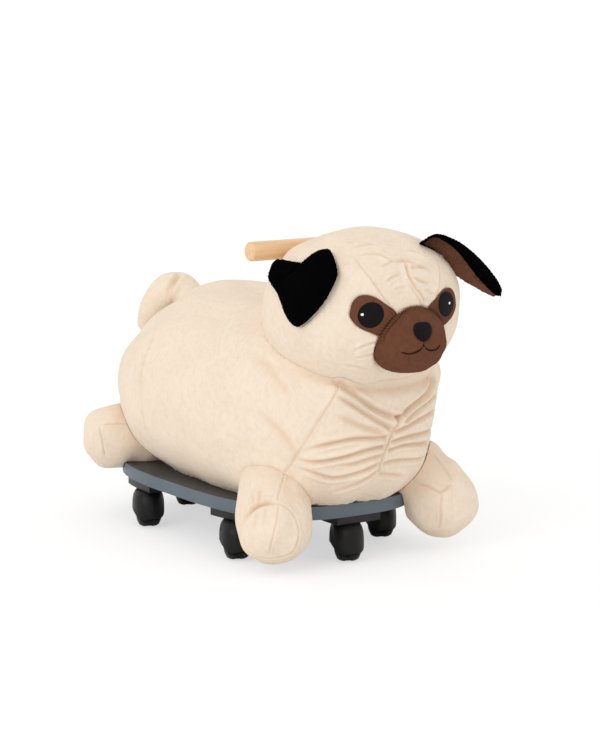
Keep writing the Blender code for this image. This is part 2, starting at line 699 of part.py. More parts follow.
def tail(body_room):
    """A tapering curl that springs from the rump and falls over its right side."""
    curve = bpy.data.curves.new("tail", "CURVE")
    curve.dimensions = "3D"
    curve.bevel_depth = TAIL_RADIUS
    curve.bevel_resolution = 2
    curve.resolution_u = 4
    curve.use_fill_caps = True
    spline = curve.splines.new("NURBS")
    spline.points.add(len(TAIL_PATH) - 1)
    for point, place, swell in zip(spline.points, TAIL_PATH, TAIL_SWELL):
        point.co = (*(BOARD_MIDDLE + Vector(place)), 1.0)
        point.radius = swell
    spline.order_u = 4
    spline.use_endpoint_u = True
    guide = bpy.data.objects.new("tail", curve)
    CUTTERS.objects.link(guide)
    graph = bpy.context.evaluated_depsgraph_get()
    mesh = bpy.data.meshes.new_from_object(guide.evaluated_get(graph))
    bpy.data.objects.remove(guide)
    bm = bmesh.new()
    bm.from_mesh(mesh)
    bmesh.ops.remove_doubles(bm, verts=bm.verts, dist=1e-6)
    bm.to_mesh(mesh)
    bm.free()
    piece = add_object("tail", mesh, CREAM_PLUSH)
    cut(piece, body_room)


def build():
    board = base_board()
    caster_blocks()
    casters()
    panel, panel_room = upright_panel()
    handle_room = handle(panel)
    panel_screws(board, panel)
    body, body_room = plush_body(panel_room)
    head, head_room = plush_head(body, body_room, panel_room, handle_room)
    face(head, head_room)
    folded_ear(head, head_room)
    flung_ear(head, head_room)
    legs(body_room, board_room())
    tail(body_room)


build()
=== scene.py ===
# Ride-on dog toy: a plush pug on a painted board with six twin-wheel casters and a beech handle bar.
# Metres, +Z up, floor at Z = 0. The dog looks along -Y and its left side is +X.
import math
import bmesh
import bpy
import numpy as np
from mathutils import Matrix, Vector


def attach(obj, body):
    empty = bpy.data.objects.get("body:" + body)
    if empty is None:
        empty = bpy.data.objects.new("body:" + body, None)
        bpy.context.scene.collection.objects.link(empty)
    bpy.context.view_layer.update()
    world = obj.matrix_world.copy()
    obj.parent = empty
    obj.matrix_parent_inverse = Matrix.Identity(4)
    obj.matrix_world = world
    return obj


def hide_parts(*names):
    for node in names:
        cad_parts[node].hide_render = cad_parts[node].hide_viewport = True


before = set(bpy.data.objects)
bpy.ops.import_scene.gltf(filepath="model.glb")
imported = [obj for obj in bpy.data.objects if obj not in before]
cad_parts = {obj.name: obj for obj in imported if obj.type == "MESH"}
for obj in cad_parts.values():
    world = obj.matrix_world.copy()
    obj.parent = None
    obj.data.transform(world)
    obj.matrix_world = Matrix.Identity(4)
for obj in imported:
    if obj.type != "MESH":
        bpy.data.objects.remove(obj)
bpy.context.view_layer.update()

mm = 0.001
rootBody = "dog_on_board"
sides = (("left", 1), ("right", -1))
legPlaces = [(end, label, side) for end in ("front", "rear") for label, side in sides]


# Grids, forms and meshes

def cubeGrid(n, towards=(0.0, 0.0, 0.0)):
    # A cube's lattice of n squares along each edge, blown up to a unit ball: a closed skin of squares with no pole.
    # The ball is seen from a point off its middle, and the squares come closer together on that side.
    u, v = np.meshgrid(np.arange(n + 1), np.arange(n + 1), indexing="ij")
    low, high = np.zeros_like(u), np.full_like(u, n)
    faces = ((high, u, v), (low, v, u), (v, high, u), (u, low, v), (u, v, high), (v, u, low))
    corners = np.stack([np.stack(face, -1) for face in faces])
    keys = corners @ np.array([(n + 1) ** 2, n + 1, 1])
    unique, index = np.unique(keys.ravel(), return_inverse=True)
    index = index.reshape(6, n + 1, n + 1)
    quads = (index[:, :-1, :-1], index[:, 1:, :-1], index[:, 1:, 1:], index[:, :-1, 1:])
    lattice = np.stack((unique // (n + 1) ** 2, unique // (n + 1) % (n + 1), unique % (n + 1)), 1)
    ways = unit(np.tan((lattice / n - 0.5) * math.pi / 2))
    eye = np.array(towards)
    ahead = ways @ eye
    ways = eye + ways * (np.sqrt(ahead**2 + 1 - eye @ eye) - ahead)[:, None]
    return ways, np.stack(quads, -1).reshape(-1, 4)


def unit(vectors):
    return vectors / np.maximum(np.linalg.norm(vectors, axis=-1, keepdims=True), 1e-12)


def superNorm(a, b, power):
    # The size of a pair on a superellipse: the power-th root of the sum of the two sizes to that power
    return (abs(a) ** power + abs(b) ** power) ** (1 / power)


def formSizes(centre, halfWidth, front, rear, top, bottom, profile=2.0, **more):
    # Reaches from a centre in mm, and the powers of the superellipses that its plan and profile follow
    made = dict(centre=np.array(centre, float) * mm, plan=2.0, lean=0.0, taper=0.0, axes=np.eye(3))
    reaches = dict(halfWidth=halfWidth, front=front, rear=rear, top=top, bottom=bottom)
    made.update({key: reach * mm for key, reach in reaches.items()})
    made.update(profile=profile, frontProfile=profile, rearProfile=profile)
    made.update(more)
    return made


def profileAt(form, along):
    # The profile's power is the form's own at its sides and turns to the front's or the rear's at its ends
    ends = np.where(along < 0, form["frontProfile"], form["rearProfile"])
    return form["profile"] + (ends - form["profile"]) * along**2


def formPoint(form, ways, grow=0.0):
    # A way from the middle is carried out to a superellipse in plan, and that one up another in profile
    x, y, z = unit(np.atleast_2d(np.asarray(ways, float))).T
    level = np.hypot(x, y)
    pole, width = level < 1e-6, np.maximum(level, 1e-6)
    side, along = np.where(pole, 1.0, x / width), np.where(pole, 0.0, y / width)
    reach = 1 / superNorm(level, z, profileAt(form, along))
    up = z * reach
    height = up * (np.where(up > 0, form["top"], form["bottom"]) + grow)
    swell = (1 + form["taper"] * up) * level * reach / superNorm(side, along, form["plan"])
    across = side * (form["halfWidth"] + grow) * swell
    length = np.where(along < 0, form["front"], form["rear"]) + grow
    forwards = along * length * swell - form["lean"] * height
    return form["centre"] + np.stack((across, forwards, height), 1) @ form["axes"].T


def formPlace(form, points):
    # The other way round: the way to each point, and its share of the form's size, which is 1 on the surface
    local = (np.atleast_2d(points) - form["centre"]) @ form["axes"]
    height = local[:, 2]
    up = height / np.where(height > 0, form["top"], form["bottom"])
    swell = 1 + form["taper"] * np.clip(up, -1, 1)
    across = local[:, 0] / (form["halfWidth"] * swell)
    forwards = local[:, 1] + form["lean"] * height
    forwards = forwards / (np.where(forwards < 0, form["front"], form["rear"]) * swell)
    flat = np.maximum(np.hypot(across, forwards), 1e-9)
    side, along = across / flat, forwards / flat
    around = superNorm(side, along, form["plan"])
    share = superNorm(superNorm(across, forwards, form["plan"]), up, profileAt(form, along))
    return unit(np.stack((across * around, forwards * around, up), 1)), share


def within(form, points, gap):
    # True where a point is nearer the form's middle than the surface grown by the gap
    surface = formPoint(form, formPlace(form, points)[0], gap)
    return np.linalg.norm(points - form["centre"], axis=1) < np.linalg.norm(surface - form["centre"], axis=1)


def slideOut(points, goals, form, gap):
    # Halving finds where each way from a point within the form to its goal outside leaves the form
    low, high = np.zeros(len(points)), np.ones(len(points))
    for _ in range(20):
        half = (low + high) / 2
        inner = within(form, points + (goals - points) * half[:, None], gap)
        low, high = np.where(inner, half, low), np.where(inner, high, half)
    return points + (goals - points) * high[:, None]


def cutBack(points, form, gap, goal, skin=None):
    # Points inside a form slide towards a goal outside it, and stop a gap over its surface. Where skin gives the
    # height of the real cover over the form, the gap is over that cover.
    goals = np.broadcast_to(goal, points.shape)
    inner = within(form, points, gap + (skin(points) if skin else 0))
    some, ends = points[inner], goals[inner]
    cut = points.copy()
    if skin:
        gap = gap + skin(slideOut(some, ends, form, 0.0))
    cut[inner] = slideOut(some, ends, form, gap)
    return cut


def surfaceNormals(points, quads):
    # Each corner's normal is the sum of its squares' diagonals crossed
    a, b, c, d = (points[quads[:, k]] for k in range(4))
    across = np.cross(c - a, d - b)

    def total(axis):
        return sum(np.bincount(quads[:, k], across[:, axis], len(points)) for k in range(4))

    return unit(np.stack([total(axis) for axis in range(3)], 1))


def formGrid(form, squares, towards):
    ways, quads = cubeGrid(squares, towards)
    points = formPoint(form, ways)
    return points, surfaceNormals(points, quads), quads


def hundredths(numbers, columns=2):
    # Table rows hold hundredths one after another
    return np.reshape(numbers, (-1, columns)) / 100


def smoothPath(points, steps=8, closed=False):
    # A Catmull-Rom curve through the points
    points = np.asarray(points, float)
    if closed:
        padded = np.vstack((points[-1:], points, points[:2]))
    else:
        padded = np.vstack((2 * points[:1] - points[1:2], points, 2 * points[-1:] - points[-2:-1]))
    t = np.linspace(0, 1, steps, endpoint=False)[None, :, None]
    a, b, c, d = (padded[k : len(padded) - 3 + k, None, :] for k in range(4))
    curve = 0.5 * (2 * b + (c - a) * t + (2 * a - 5 * b + 4 * c - d) * t**2 + (3 * b - a - 3 * c + d) * t**3)
    curve = curve.reshape(-1, points.shape[1])
    return curve if closed else np.vstack((curve, points[-1:]))


def nearPath(points, path):
    # How far each point is from a path of short straight runs, and how far along it the nearest place lies
    best = np.full(len(points), np.inf)
    along = np.zeros(len(points))
    for k in range(len(path) - 1):
        run = path[k + 1] - path[k]
        t = np.clip((points - path[k]) @ run / max(run @ run, 1e-12), 0, 1)
        gap = np.linalg.norm(points - path[k] - t[:, None] * run, axis=1)
        closer = gap < best
        best = np.where(closer, gap, best)
        along = np.where(closer, (k + t) / (len(path) - 1), along)
    return best, along


def smoothStep(x, low, high):
    t = np.clip((x - low) / (high - low), 0, 1)
    return t * t * (3 - 2 * t)


def hump(x, width):
    # A bell curve that is 1 at nought and falls off over a width
    return np.exp(-((x / width) ** 2))


def lumps(points, size, seed, waves=14):
    # A sum of plane waves about one size long, in seeded ways and phases, between about -1 and 1
    dice = np.random.default_rng(seed)
    ways = unit(dice.normal(size=(waves, 3))) * dice.uniform(0.7, 1.4, (waves, 1))
    phases = dice.uniform(0, 2 * math.pi, waves)
    return np.sin(points @ ways.T * (2 * math.pi / size) + phases).sum(1) * (2 / waves) ** 0.5


creaseShape = {
    "reach": 4,  # widths from its middle at which a crease is no longer felt
    "swellSpread": 1.6,
    "groove": (1.3, 1.2),  # power and steepness of the groove's fall, and below of its shade
    "shade": (1.5, 2),
    "fullShadeDepth": 2.5 * mm,
    "deepest": 1.3,  # where creases meet, the cover is drawn in this much deeper than at the deepest one
}


def carve(points, creases):
    # Each crease is a groove with a swelling along both sides, which fades towards its open ends.
    # Returns how far each point moves along its normal, and a share from 0 to 1 of how deep in a fold it is,
    # which the plush colours as painted shade.
    move = np.zeros(len(points))
    fold = np.zeros(len(points))
    groovePower, grooveFall = creaseShape["groove"]
    shadePower, shadeFall = creaseShape["shade"]
    for path, depth, width, swell, fadeIn, fadeOut in creases:
        reach = creaseShape["reach"] * width
        near = ((points > path.min(0) - reach) & (points < path.max(0) + reach)).all(1)
        gap, along = nearPath(points[near], path)
        strength = np.ones(len(gap))
        if fadeIn:
            strength *= smoothStep(along, 0, fadeIn)
        if fadeOut:
            strength *= smoothStep(1 - along, 0, fadeOut)
        d = gap / width
        rise = swell * d**2 * np.exp(1 - d**2 / creaseShape["swellSpread"])
        move[near] += strength * (rise - depth * np.exp(-(d**groovePower) * grooveFall))
        shade = strength * np.exp(-(d**shadePower) * shadeFall) * min(1, depth / creaseShape["fullShadeDepth"])
        fold[near] = np.maximum(fold[near], shade)
    deepest = creaseShape["deepest"] * max(one[1] for one in creases)
    return np.maximum(move, -deepest), fold


def frontPath(form, places, steps=8, side=1):
    # A path on a form as it is seen from the front, through places across and up in hundredths of a unit way
    places = smoothPath(hundredths(places) * (side, 1), steps)
    depth = np.sqrt(np.clip(1 - (places**2).sum(1), 0, 1))
    return formPoint(form, np.stack((places[:, 0], -depth, places[:, 1]), 1))


def crease(path, depth, width, swell, fadeIn, fadeOut):
    return path, depth * mm, width * mm, swell * mm, fadeIn, fadeOut


def frontCreases(form, rows, side=1):
    return [crease(frontPath(form, places, side=side), *sizes) for *sizes, places in rows]


def newMesh(name, points, faces, finish, folds=None, smooth=True):
    mesh = bpy.data.meshes.new(name)
    if isinstance(faces, np.ndarray):
        mesh.vertices.add(len(points))
        mesh.vertices.foreach_set("co", np.ascontiguousarray(points, np.float32).ravel())
        mesh.loops.add(faces.size)
        mesh.loops.foreach_set("vertex_index", np.ascontiguousarray(faces, np.int32).ravel())
        mesh.polygons.add(len(faces))
        mesh.polygons.foreach_set("loop_start", np.arange(0, faces.size, faces.shape[1], dtype=np.int32))
        mesh.update(calc_edges=True)
    else:
        mesh.from_pydata(points.tolist(), [], faces)
    # the fold attribute carries painted shade, which the plush colours read
    if folds is not None:
        layer = mesh.attributes.new("fold", "FLOAT", "POINT")
        layer.data.foreach_set("value", np.ascontiguousarray(folds, np.float32))
    if smooth:
        mesh.shade_smooth()
    mesh.materials.append(finish)
    return inScene(name, mesh)


def inScene(name, data):
    made = bpy.data.objects.new(name, data)
    bpy.context.scene.collection.objects.link(made)
    return made


# Materials: a pattern's scale is 1000 over its size in mm, and each layer of colour is a pattern, the values from
# which and up to which it takes over, its greatest share and its colour

def linearColour(hexCode):
    srgb = [int(hexCode[k : k + 2], 16) / 255 for k in (0, 2, 4)]
    return (*(c / 12.92 if c <= 0.04045 else ((c + 0.055) / 1.055) ** 2.4 for c in srgb), 1.0)


def addNode(tree, kind, inputs=None, output=0, **named):
    # Sockets are given by number in inputs or by name with _ for a space, each a value or a link; names that start
    # with a small letter are the node's own settings
    made = tree.nodes.new("ShaderNode" + kind)
    sockets = dict(inputs or {})
    for key, value in named.items():
        if key[0].islower():
            setattr(made, key, value)
        else:
            sockets[key.replace("_", " ")] = value
    for key, value in sockets.items():
        if isinstance(value, bpy.types.NodeSocket):
            tree.links.new(value, made.inputs[key])
        else:
            made.inputs[key].default_value = value
    return made.outputs[output]


def newMaterial(name, **sockets):
    made = bpy.data.materials.new(name)
    made.use_nodes = True
    shader = made.node_tree.nodes["Principled BSDF"]
    for key, value in sockets.items():
        shader.inputs[key.replace("_", " ")].default_value = value
    place = addNode(made.node_tree, "TexCoord", output="Object")
    return made, made.node_tree, shader, place


def paint(tree, shader, ground, layers, bumps=(), rough=None):
    # The layers lie over a ground, and rough changes the roughness with a pattern in the same way. Each bump has
    # a pattern for its height, a strength and a depth in mm.
    colour = linearColour(ground)
    for pattern, low, high, most, hexCode in layers:
        share = addNode(tree, "MapRange", {0: pattern, 1: low, 2: high, 3: 0.0, 4: most})
        colour = addNode(tree, "Mix", {0: share, 6: colour, 7: linearColour(hexCode)}, 2, data_type="RGBA")
    tree.links.new(colour, shader.inputs["Base Color"])
    if rough:
        tree.links.new(addNode(tree, "MapRange", dict(enumerate(rough))), shader.inputs["Roughness"])
    under = {}
    for height, strength, depth in bumps:
        under["Normal"] = addNode(tree, "Bump", under, Height=height, Strength=strength, Distance=depth * mm)
    for key, normal in under.items():
        tree.links.new(normal, shader.inputs[key])


plushLook = {
    "pileMm": 1.3,  # a real pile tip is about 0.2 mm wide: drawn this coarse so that it shows
    "tuftMm": 5.5,
    "mottleMm": 38,
    "napStretch": 0.7,  # tips look longer down the nap, which is brushed downwards
    "mottle": (0.35, 0.7, 0.12),  # each pattern's values from which and up to which it shows, and its greatest share
    "tufts": (0.42, 0.75, 0.24),
    "tips": (0.50, 0.75, 0.28),
    # painted shade: the fold attribute darkens the colour in creases, gathers, tucks and round sewn pieces
    "folds": (0.0, 1.0, 0.55),
    "tuftBump": (0.5, 1.5),  # strength and depth in mm
    "tipBump": (0.35, 0.6),
}


def plush(name, colour, shadeColour, tipColour, sheen, gloss=0.06):
    # Short knitted velboa: fine tips that catch the light at grazing angles, tufts that part a little, and
    # a darker, warmer colour painted into the folds as painted shade
    look = plushLook
    made, tree, shader, place = newMaterial(
        name, Roughness=0.92, Sheen_Weight=sheen, Sheen_Roughness=0.45, Sheen_Tint=linearColour(tipColour),
        Specular_IOR_Level=gloss,
    )
    nap = addNode(tree, "Mapping", Vector=place, Scale=(1, 1, look["napStretch"]))
    tips = addNode(tree, "TexNoise", Vector=nap, Scale=1000 / look["pileMm"], Detail=3, Roughness=0.6)
    tufts = addNode(tree, "TexNoise", Vector=nap, Scale=1000 / look["tuftMm"])
    mottle = addNode(tree, "TexNoise", Vector=place, Scale=1000 / look["mottleMm"])
    # painted shade from the fold attribute
    fold = addNode(tree, "Attribute", output="Fac", attribute_name="fold")
    darker = ((mottle, *look["mottle"], shadeColour), (tufts, *look["tufts"], shadeColour))
    layers = (*darker, (tips, *look["tips"], tipColour), (fold, *look["folds"], shadeColour))
    paint(tree, shader, colour, layers, ((tufts, *look["tuftBump"]), (tips, *look["tipBump"])))
    return made


waveGrowth = {"X": 20, "DIAGONAL": 10 * 3**0.5}  # how much a wave's phase grows over a metre, times its scale


def waveScale(direction, pitchMm):
    return 2 * math.pi * 1000 / (waveGrowth[direction] * pitchMm)


def embroidery(name, dark, light):
    # Dense satin stitch in rayon thread with a low silky gloss. Its parallel threads lie 0.4 mm apart, and are drawn
    # 1.6 mm apart so that they show.
    made, tree, shader, place = newMaterial(name, Roughness=0.62, Specular_IOR_Level=0.12)
    threads = addNode(
        tree, "TexWave", output="Fac", bands_direction="DIAGONAL", Vector=place,
        Scale=waveScale("DIAGONAL", 1.5955), Distortion=0.6, Detail=1.0,
    )
    uneven = addNode(tree, "TexNoise", Vector=place, Scale=1000 / 3.0)
    paint(tree, shader, dark, [(uneven, 0.3, 0.7, 1.0, light)], [(threads, 0.35, 0.25)])
    return made


def whiteThread():
    # The same satin stitch in white
    made, tree, shader, place = newMaterial("white satin-stitch thread", Roughness=0.5, Sheen_Weight=0.1)
    uneven = addNode(tree, "TexNoise", Vector=place, Scale=1000 / 0.8)
    paint(tree, shader, "F1EEEA", [(uneven, 0.0, 1.0, 1.0, "FFFFFF")])
    return made


def boardPaint(name, plain, cloudy, flecks, scuffed):
    # Sprayed satin enamel on plywood: fine orange peel, cloudy where it was laid on thinly, scuffed along the edges
    made, tree, shader, place = newMaterial(name, Roughness=0.48)
    cloud = addNode(tree, "TexNoise", Vector=place, Scale=1000 / 70)
    speck = addNode(tree, "TexNoise", Vector=place, Scale=1000 / 2.2, Detail=3)
    peel = addNode(tree, "TexNoise", Vector=place, Scale=1000 / 1.6)
    edges = addNode(tree, "NewGeometry", output="Pointiness")
    layers = ((cloud, 0.3, 0.7, 1.0, cloudy), (speck, 0.45, 0.8, 0.25, flecks), (edges, 0.52, 0.60, 0.35, scuffed))
    paint(tree, shader, plain, layers, [(peel, 0.12, 0.2)], (speck, 0.3, 0.8, 0.40, 0.58))
    return made


def mouldedPlastic(name, dark, light, roughness, grainMm, gloss=0.35):
    # Injection-moulded nylon with spark-eroded grain: a dull even gloss, slightly greyer where it is handled
    made, tree, shader, place = newMaterial(name, Roughness=roughness, IOR=1.52, Specular_IOR_Level=gloss)
    grain = addNode(tree, "TexNoise", Vector=place, Scale=1000 / grainMm, Roughness=0.6)
    cloud = addNode(tree, "TexNoise", Vector=place, Scale=1000 / 14)
    rough = (grain, 0.3, 0.7, roughness - 0.06, roughness + 0.08)
    paint(tree, shader, dark, [(cloud, 0.35, 0.7, 1.0, light)], [(grain, 0.16, 0.12)], rough)
    return made


def beech():
    # Turned beech under clear lacquer: pale pinkish brown, straight faint grain along the bar, short dark flecks
    made, tree, shader, place = newMaterial("lacquered beech", Roughness=0.42, Coat_Weight=0.25, Coat_Roughness=0.3)
    long = addNode(tree, "Mapping", Vector=place, Scale=(0.06, 1, 1))
    short = addNode(tree, "Mapping", Vector=place, Scale=(0.22, 1, 1))
    grain = addNode(tree, "TexNoise", Vector=long, Scale=1000 / 5.0, Detail=4, Roughness=0.6)
    flecks = addNode(tree, "TexNoise", Vector=short, Scale=1000 / 0.9)
    layers = ((grain, 0.3, 0.7, 1.0, "DEB07E"), (flecks, 0.60, 0.78, 0.45, "B58050"))
    paint(tree, shader, "F0CB9D", layers, [(grain, 0.08, 0.3)])
    return made


def plywood():
    # Bare sanded birch plywood seen on its edges: pale plies with darker glue lines, drawn 5.5 mm apart
    made, tree, shader, place = newMaterial("sanded birch plywood", Roughness=0.7)
    plies = addNode(
        tree, "TexWave", output="Fac", bands_direction="X", Vector=place, Scale=waveScale("X", 5.527), Distortion=0.2
    )
    upwards = addNode(tree, "Mapping", Vector=place, Scale=(1, 1, 0.08))
    grain = addNode(tree, "TexNoise", Vector=upwards, Scale=1000 / 2.0, Detail=3)
    layers = ((grain, 0.3, 0.7, 1.0, "CDAE7E"), (plies, 0.75, 1.0, 0.4, "A98555"))
    paint(tree, shader, "E0C79D", layers, [(grain, 0.15, 0.2)])
    return made


def zincSteel():
    # Zinc-plated steel: bright, with a fine drawn grain and a faint bluish cast
    made, tree, shader, place = newMaterial("zinc-plated steel", Roughness=0.32, Metallic=1.0)
    drawn = addNode(tree, "TexNoise", Vector=place, Scale=1000 / 0.6)
    paint(tree, shader, "B4B8BD", [(drawn, 0.0, 1.0, 1.0, "C6C9CC")], rough=(drawn, 0.3, 0.7, 0.26, 0.4))
    return made


creamPlush = plush("cream velboa plush", "ECDCC8", "DABA9C", "F9F0E3", 0.12)
brownPlush = plush("brown velboa plush", "6A4432", "3F2418", "7C5542", 0.06)
liningPlush = plush("brown ear lining plush", "6E4837", "2E1A12", "7E5745", 0.06)
blackPlush = plush("black velboa plush", "040303", "020202", "0A0808", 0.0, gloss=0.02)
blackThread = embroidery("dark satin-stitch embroidery", "0A0607", "140F11")
brownThread = embroidery("dark brown sewing thread", "2A1810", "38221A")
whiteStitch = whiteThread()
slatePaint = boardPaint("slate satin enamel", "4F5B66", "5A6670", "45505B", "75818C")
# painted shade and a warm painted reflection of the plush: the top and underside wear the slate enamel drawn darker
shadedTopPaint = boardPaint("board top enamel with painted shade", "2F2F2F", "3A3835", "282727", "5E5A55")
blackNylon = mouldedPlastic("black moulded nylon", "111112", "1A1A1B", 0.40, 0.7)
hoodNylon = mouldedPlastic("black nylon caster hood", "0B0B0C", "121213", 0.42, 0.7, gloss=0.24)
# painted shadow: the groove is the hood's own nylon, drawn pure black with no gloss for the shade in it
grooveShadow = mouldedPlastic("painted shadow in the hood rim groove", "010101", "020202", 0.9, 0.7, gloss=0.0)
wheelNylon = mouldedPlastic("dark wheel nylon", "090909", "0F0F10", 0.34, 0.5, gloss=0.28)
lacqueredBeech = beech()
birchPlywood = plywood()
zincPlating = zincSteel()
print("materials ready")


def keep(piece, slotName, *nodes, fill=None, body=rootBody):
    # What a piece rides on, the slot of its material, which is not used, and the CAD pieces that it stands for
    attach(piece, body)
    if nodes:
        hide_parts(*nodes)
    return piece


# Body: one long stuffed bolster, gathered along a seam down the chest

plushBody = {
    "squares": 128,
    "towards": (0.0, -0.42, -0.06),
    "boardTop": 71.3 * mm,
    "lump": 1.0 * mm,
    "lumpSize": 70 * mm,
    "hemHeight": 7 * mm,  # how far up from the board the hem puckers
    "hemPucker": 0.65 * mm,
    "hemPitch": 15 * mm,
    "hemRadius": 170 * mm,
    "hemLumpSize": 9 * mm,
    # the stuffing is slack on the left of the chest, high on the rump and behind the neck: way, depth, radius in mm
    "dents": (
        ((0.60, -0.74, -0.28), 13.5, 44), ((-0.57, 0.55, 0.62), 18, 52), ((0.57, 0.55, 0.62), 18, 52),
        ((0.66, -0.64, 0.30), -5, 26), ((0.04, -0.20, 0.98), 9, 50), ((0.13, 0.02, 0.99), 15, 54),
        ((0.0, 0.34, 0.94), -3, 60),
    ),
    "clearOfHead": (0.98, 1.12),  # the dents fade out between these shares of the head's size
    "collarRise": 4.0 * mm,  # the cover is drawn up round the top of each leg
    "collarReach": 11 * mm,
}
bodyForm = formSizes((0, 37.4, 180), 152, 258, 222, 130, 134, 2.05, plan=2.7, frontProfile=3.1, rearProfile=2.35)
headForm = formSizes((-1.2, -165.6, 304), 114.8, 100, 99, 94, 98, 2.1, plan=2.35, lean=0.09)
legs = {
    "squares": 84,
    "towards": (0, 0.15, -0.25),
    "profile": 2.6,
    "lump": 0.9 * mm,
    "lumpSize": 38 * mm,
    "bodyGap": 0.2 * mm,
    "boardGap": 0.6 * mm,
    "tuckShade": 0.55,  # painted shade where a leg is tucked against the body
    "tuckShadeReach": 15 * mm,
    "bodySize": 140 * mm,
    "front": {"paw": (121.4, -163.0, 57.5), "root": (88, -108.6, 117), "radius": 41.7, "taper": -0.25},
    "rear": {"paw": (113.5, 227.4, 100.5), "root": (52, 195.4, 100), "radius": 40, "taper": -0.17},
}


def legForm(end, side):
    size = legs[end]
    paw, root = (np.array(size[key]) * (side, 1, 1) for key in ("paw", "root"))
    half = np.linalg.norm(paw - root) / 2 + size["radius"]
    zAxis = -unit(paw - root)
    xAxis = unit(np.cross((0.0, 0.0, 1.0), zAxis))
    axes = np.stack((xAxis, np.cross(zAxis, xAxis), zAxis), 1)
    radius = size["radius"]
    middle = (paw + root) / 2
    return formSizes(middle, radius, radius, radius, half, half, legs["profile"], taper=size["taper"], axes=axes)


# Creases: depth, width and swelling in mm, fades from the start and the end, places across and up in hundredths
chestSeams = (
    (2.8, 2.8, 0.7, 0, 0.2, (9, 1, 4, -13, -1, -25, -5, -38, -4, -50)),
    (5.0, 4.4, 2.0, 0.2, 0, (-42, 37, -36, 32, -28, 24, -14, 11, -2, 4, 9, 0)),
    (5.0, 4.4, 2.0, 0.2, 0, (53, 33, 46, 25, 35, 16, 20, 7, 9, 0)),
    (1.6, 2.2, 0.4, 0, 0, (-36, 34, -43, 20, -51, 3, -56, -12, -59, -26, -60, -42)),
    (1.6, 2.2, 0.4, 0, 0, (40, 32, 50, 16, 57, 0, 60, -14, 61, -28, 60, -42)),
)
chestPuckers = (
    (3.6, 3.6, 1.7, 0.3, 0.05, (-42, 25, -36, 20, -23, 9, -10, -1, 4, -11)),
    (2.4, 4.0, 1.2, 0.35, 0.1, (-44, 10, -34, 2, -20, -6, -2, -13)),
    (3.8, 3.6, 2.0, 0.3, 0.05, (-60, -26, -47, -19, -32, -15, -18, -15, 1, -16)),
    (4.0, 3.6, 2.0, 0.3, 0.05, (-61, -32, -49, -33, -34, -30, -19, -25, -2, -23)),
    (3.4, 3.8, 1.7, 0.35, 0.05, (-58, -39, -48, -42, -36, -47, -23, -44, -6, -36)),
    (2.4, 3.6, 1.2, 0.4, 0.05, (-40, -37, -28, -36, -16, -32, -4, -30)),
    (2.6, 4.0, 1.3, 0.5, 0.05, (-34, -60, -24, -55, -15, -49, -6, -41)),
    (3.2, 3.6, 1.6, 0.05, 0.3, (12, -5, 30, 5, 48, 12, 58, 18)),
    (3.6, 3.6, 1.8, 0.05, 0.3, (5, -13, 14, -10, 25, -6, 48, -1, 60, 3)),
    (3.6, 3.6, 1.8, 0.05, 0.3, (2, -21, 21, -18, 45, -18, 58, -16)),
    (3.4, 3.6, 1.8, 0.05, 0.35, (0, -28, 16, -25, 41, -28, 56, -27)),
    (3.0, 3.8, 1.5, 0.05, 0.35, (-3, -38, 14, -38, 38, -41, 52, -40)),
    (2.2, 3.8, 1.1, 0.05, 0.45, (-4, -46, 10, -49, 26, -53)),
)
neckFolds = (
    (2.4, 9.0, 1.4, 0.3, 0.1, (-62, 50, -52, 42, -41, 36, -26, 29, 1, 26, 24, 27, 41, 29, 55, 36)),
)
flankFolds = (
    (1.5, 7.0, 1.0, 0.3, 0.35, (-70, 55, -66, 46, -65, 32, -61, 19)),
    (1.7, 7.0, 1.1, 0.4, 0.15, (-80, 10, -75, 2, -68, -12, -61, -26, -58, -34)),
)
# The seam over the rump, with the ways in hundredths
rumpSeam = (1.5, 2.4, 0.5, 0.1, 0.1, (79, 24, 56, 89, 25, 38, 96.5, 25, 8, 93, 24.5, -28, 83, 23, -50))

bodyCreases = frontCreases(bodyForm, chestSeams + chestPuckers + neckFolds + flankFolds)
bodyCreases += frontCreases(bodyForm, flankFolds, side=-1)
for side in (-1, 1):
    seam = smoothPath(hundredths(rumpSeam[-1], 3)) * (side, 1, 1)
    bodyCreases.append(crease(formPoint(bodyForm, seam), *rumpSeam[:-1]))


def bodySkin(points):
    # How high the cover lies over the body's form at each place, and its share of fold, which is painted as shade
    move, fold = carve(points, bodyCreases)
    move += plushBody["lump"] * lumps(points, plushBody["lumpSize"], 3)
    clear = smoothStep(formPlace(headForm, points)[1], *plushBody["clearOfHead"])
    for way, depth, radius in plushBody["dents"]:
        away = np.linalg.norm(points - formPoint(bodyForm, way)[0], axis=1)
        move -= depth * mm * hump(away, radius * mm) * clear
    for end, _, side in legPlaces:
        form = legForm(end, side)
        beyond = (formPlace(form, points)[1] - 1) * form["halfWidth"]
        move += plushBody["collarRise"] * hump(np.maximum(beyond, 0), plushBody["collarReach"])
    return move, fold


def bodyHeight(points):
    return bodySkin(points)[0]


def makeBody():
    size = plushBody
    points, normals, quads = formGrid(bodyForm, size["squares"], size["towards"])
    move, fold = bodySkin(points)
    low = size["boardTop"]
    hem = np.exp(-np.maximum(points[:, 2] - low, 0) / size["hemHeight"])
    turn = np.arctan2(points[:, 0], points[:, 1] - bodyForm["centre"][1]) * size["hemRadius"]
    ripple = np.sin(2 * math.pi * turn / size["hemPitch"]) + lumps(points, size["hemLumpSize"], 5)
    points = points + normals * (move + size["hemPucker"] * hem * ripple)[:, None]
    points[:, 2] = np.maximum(points[:, 2], low)
    return newMesh("body_cover", points, quads, creamPlush, fold)


keep(makeBody(), "cream_plush", "plush_body", fill=0.85)
print("body ready")


# Head: a ball with cheeks, a gathered forehead and a tuck where it meets the neck

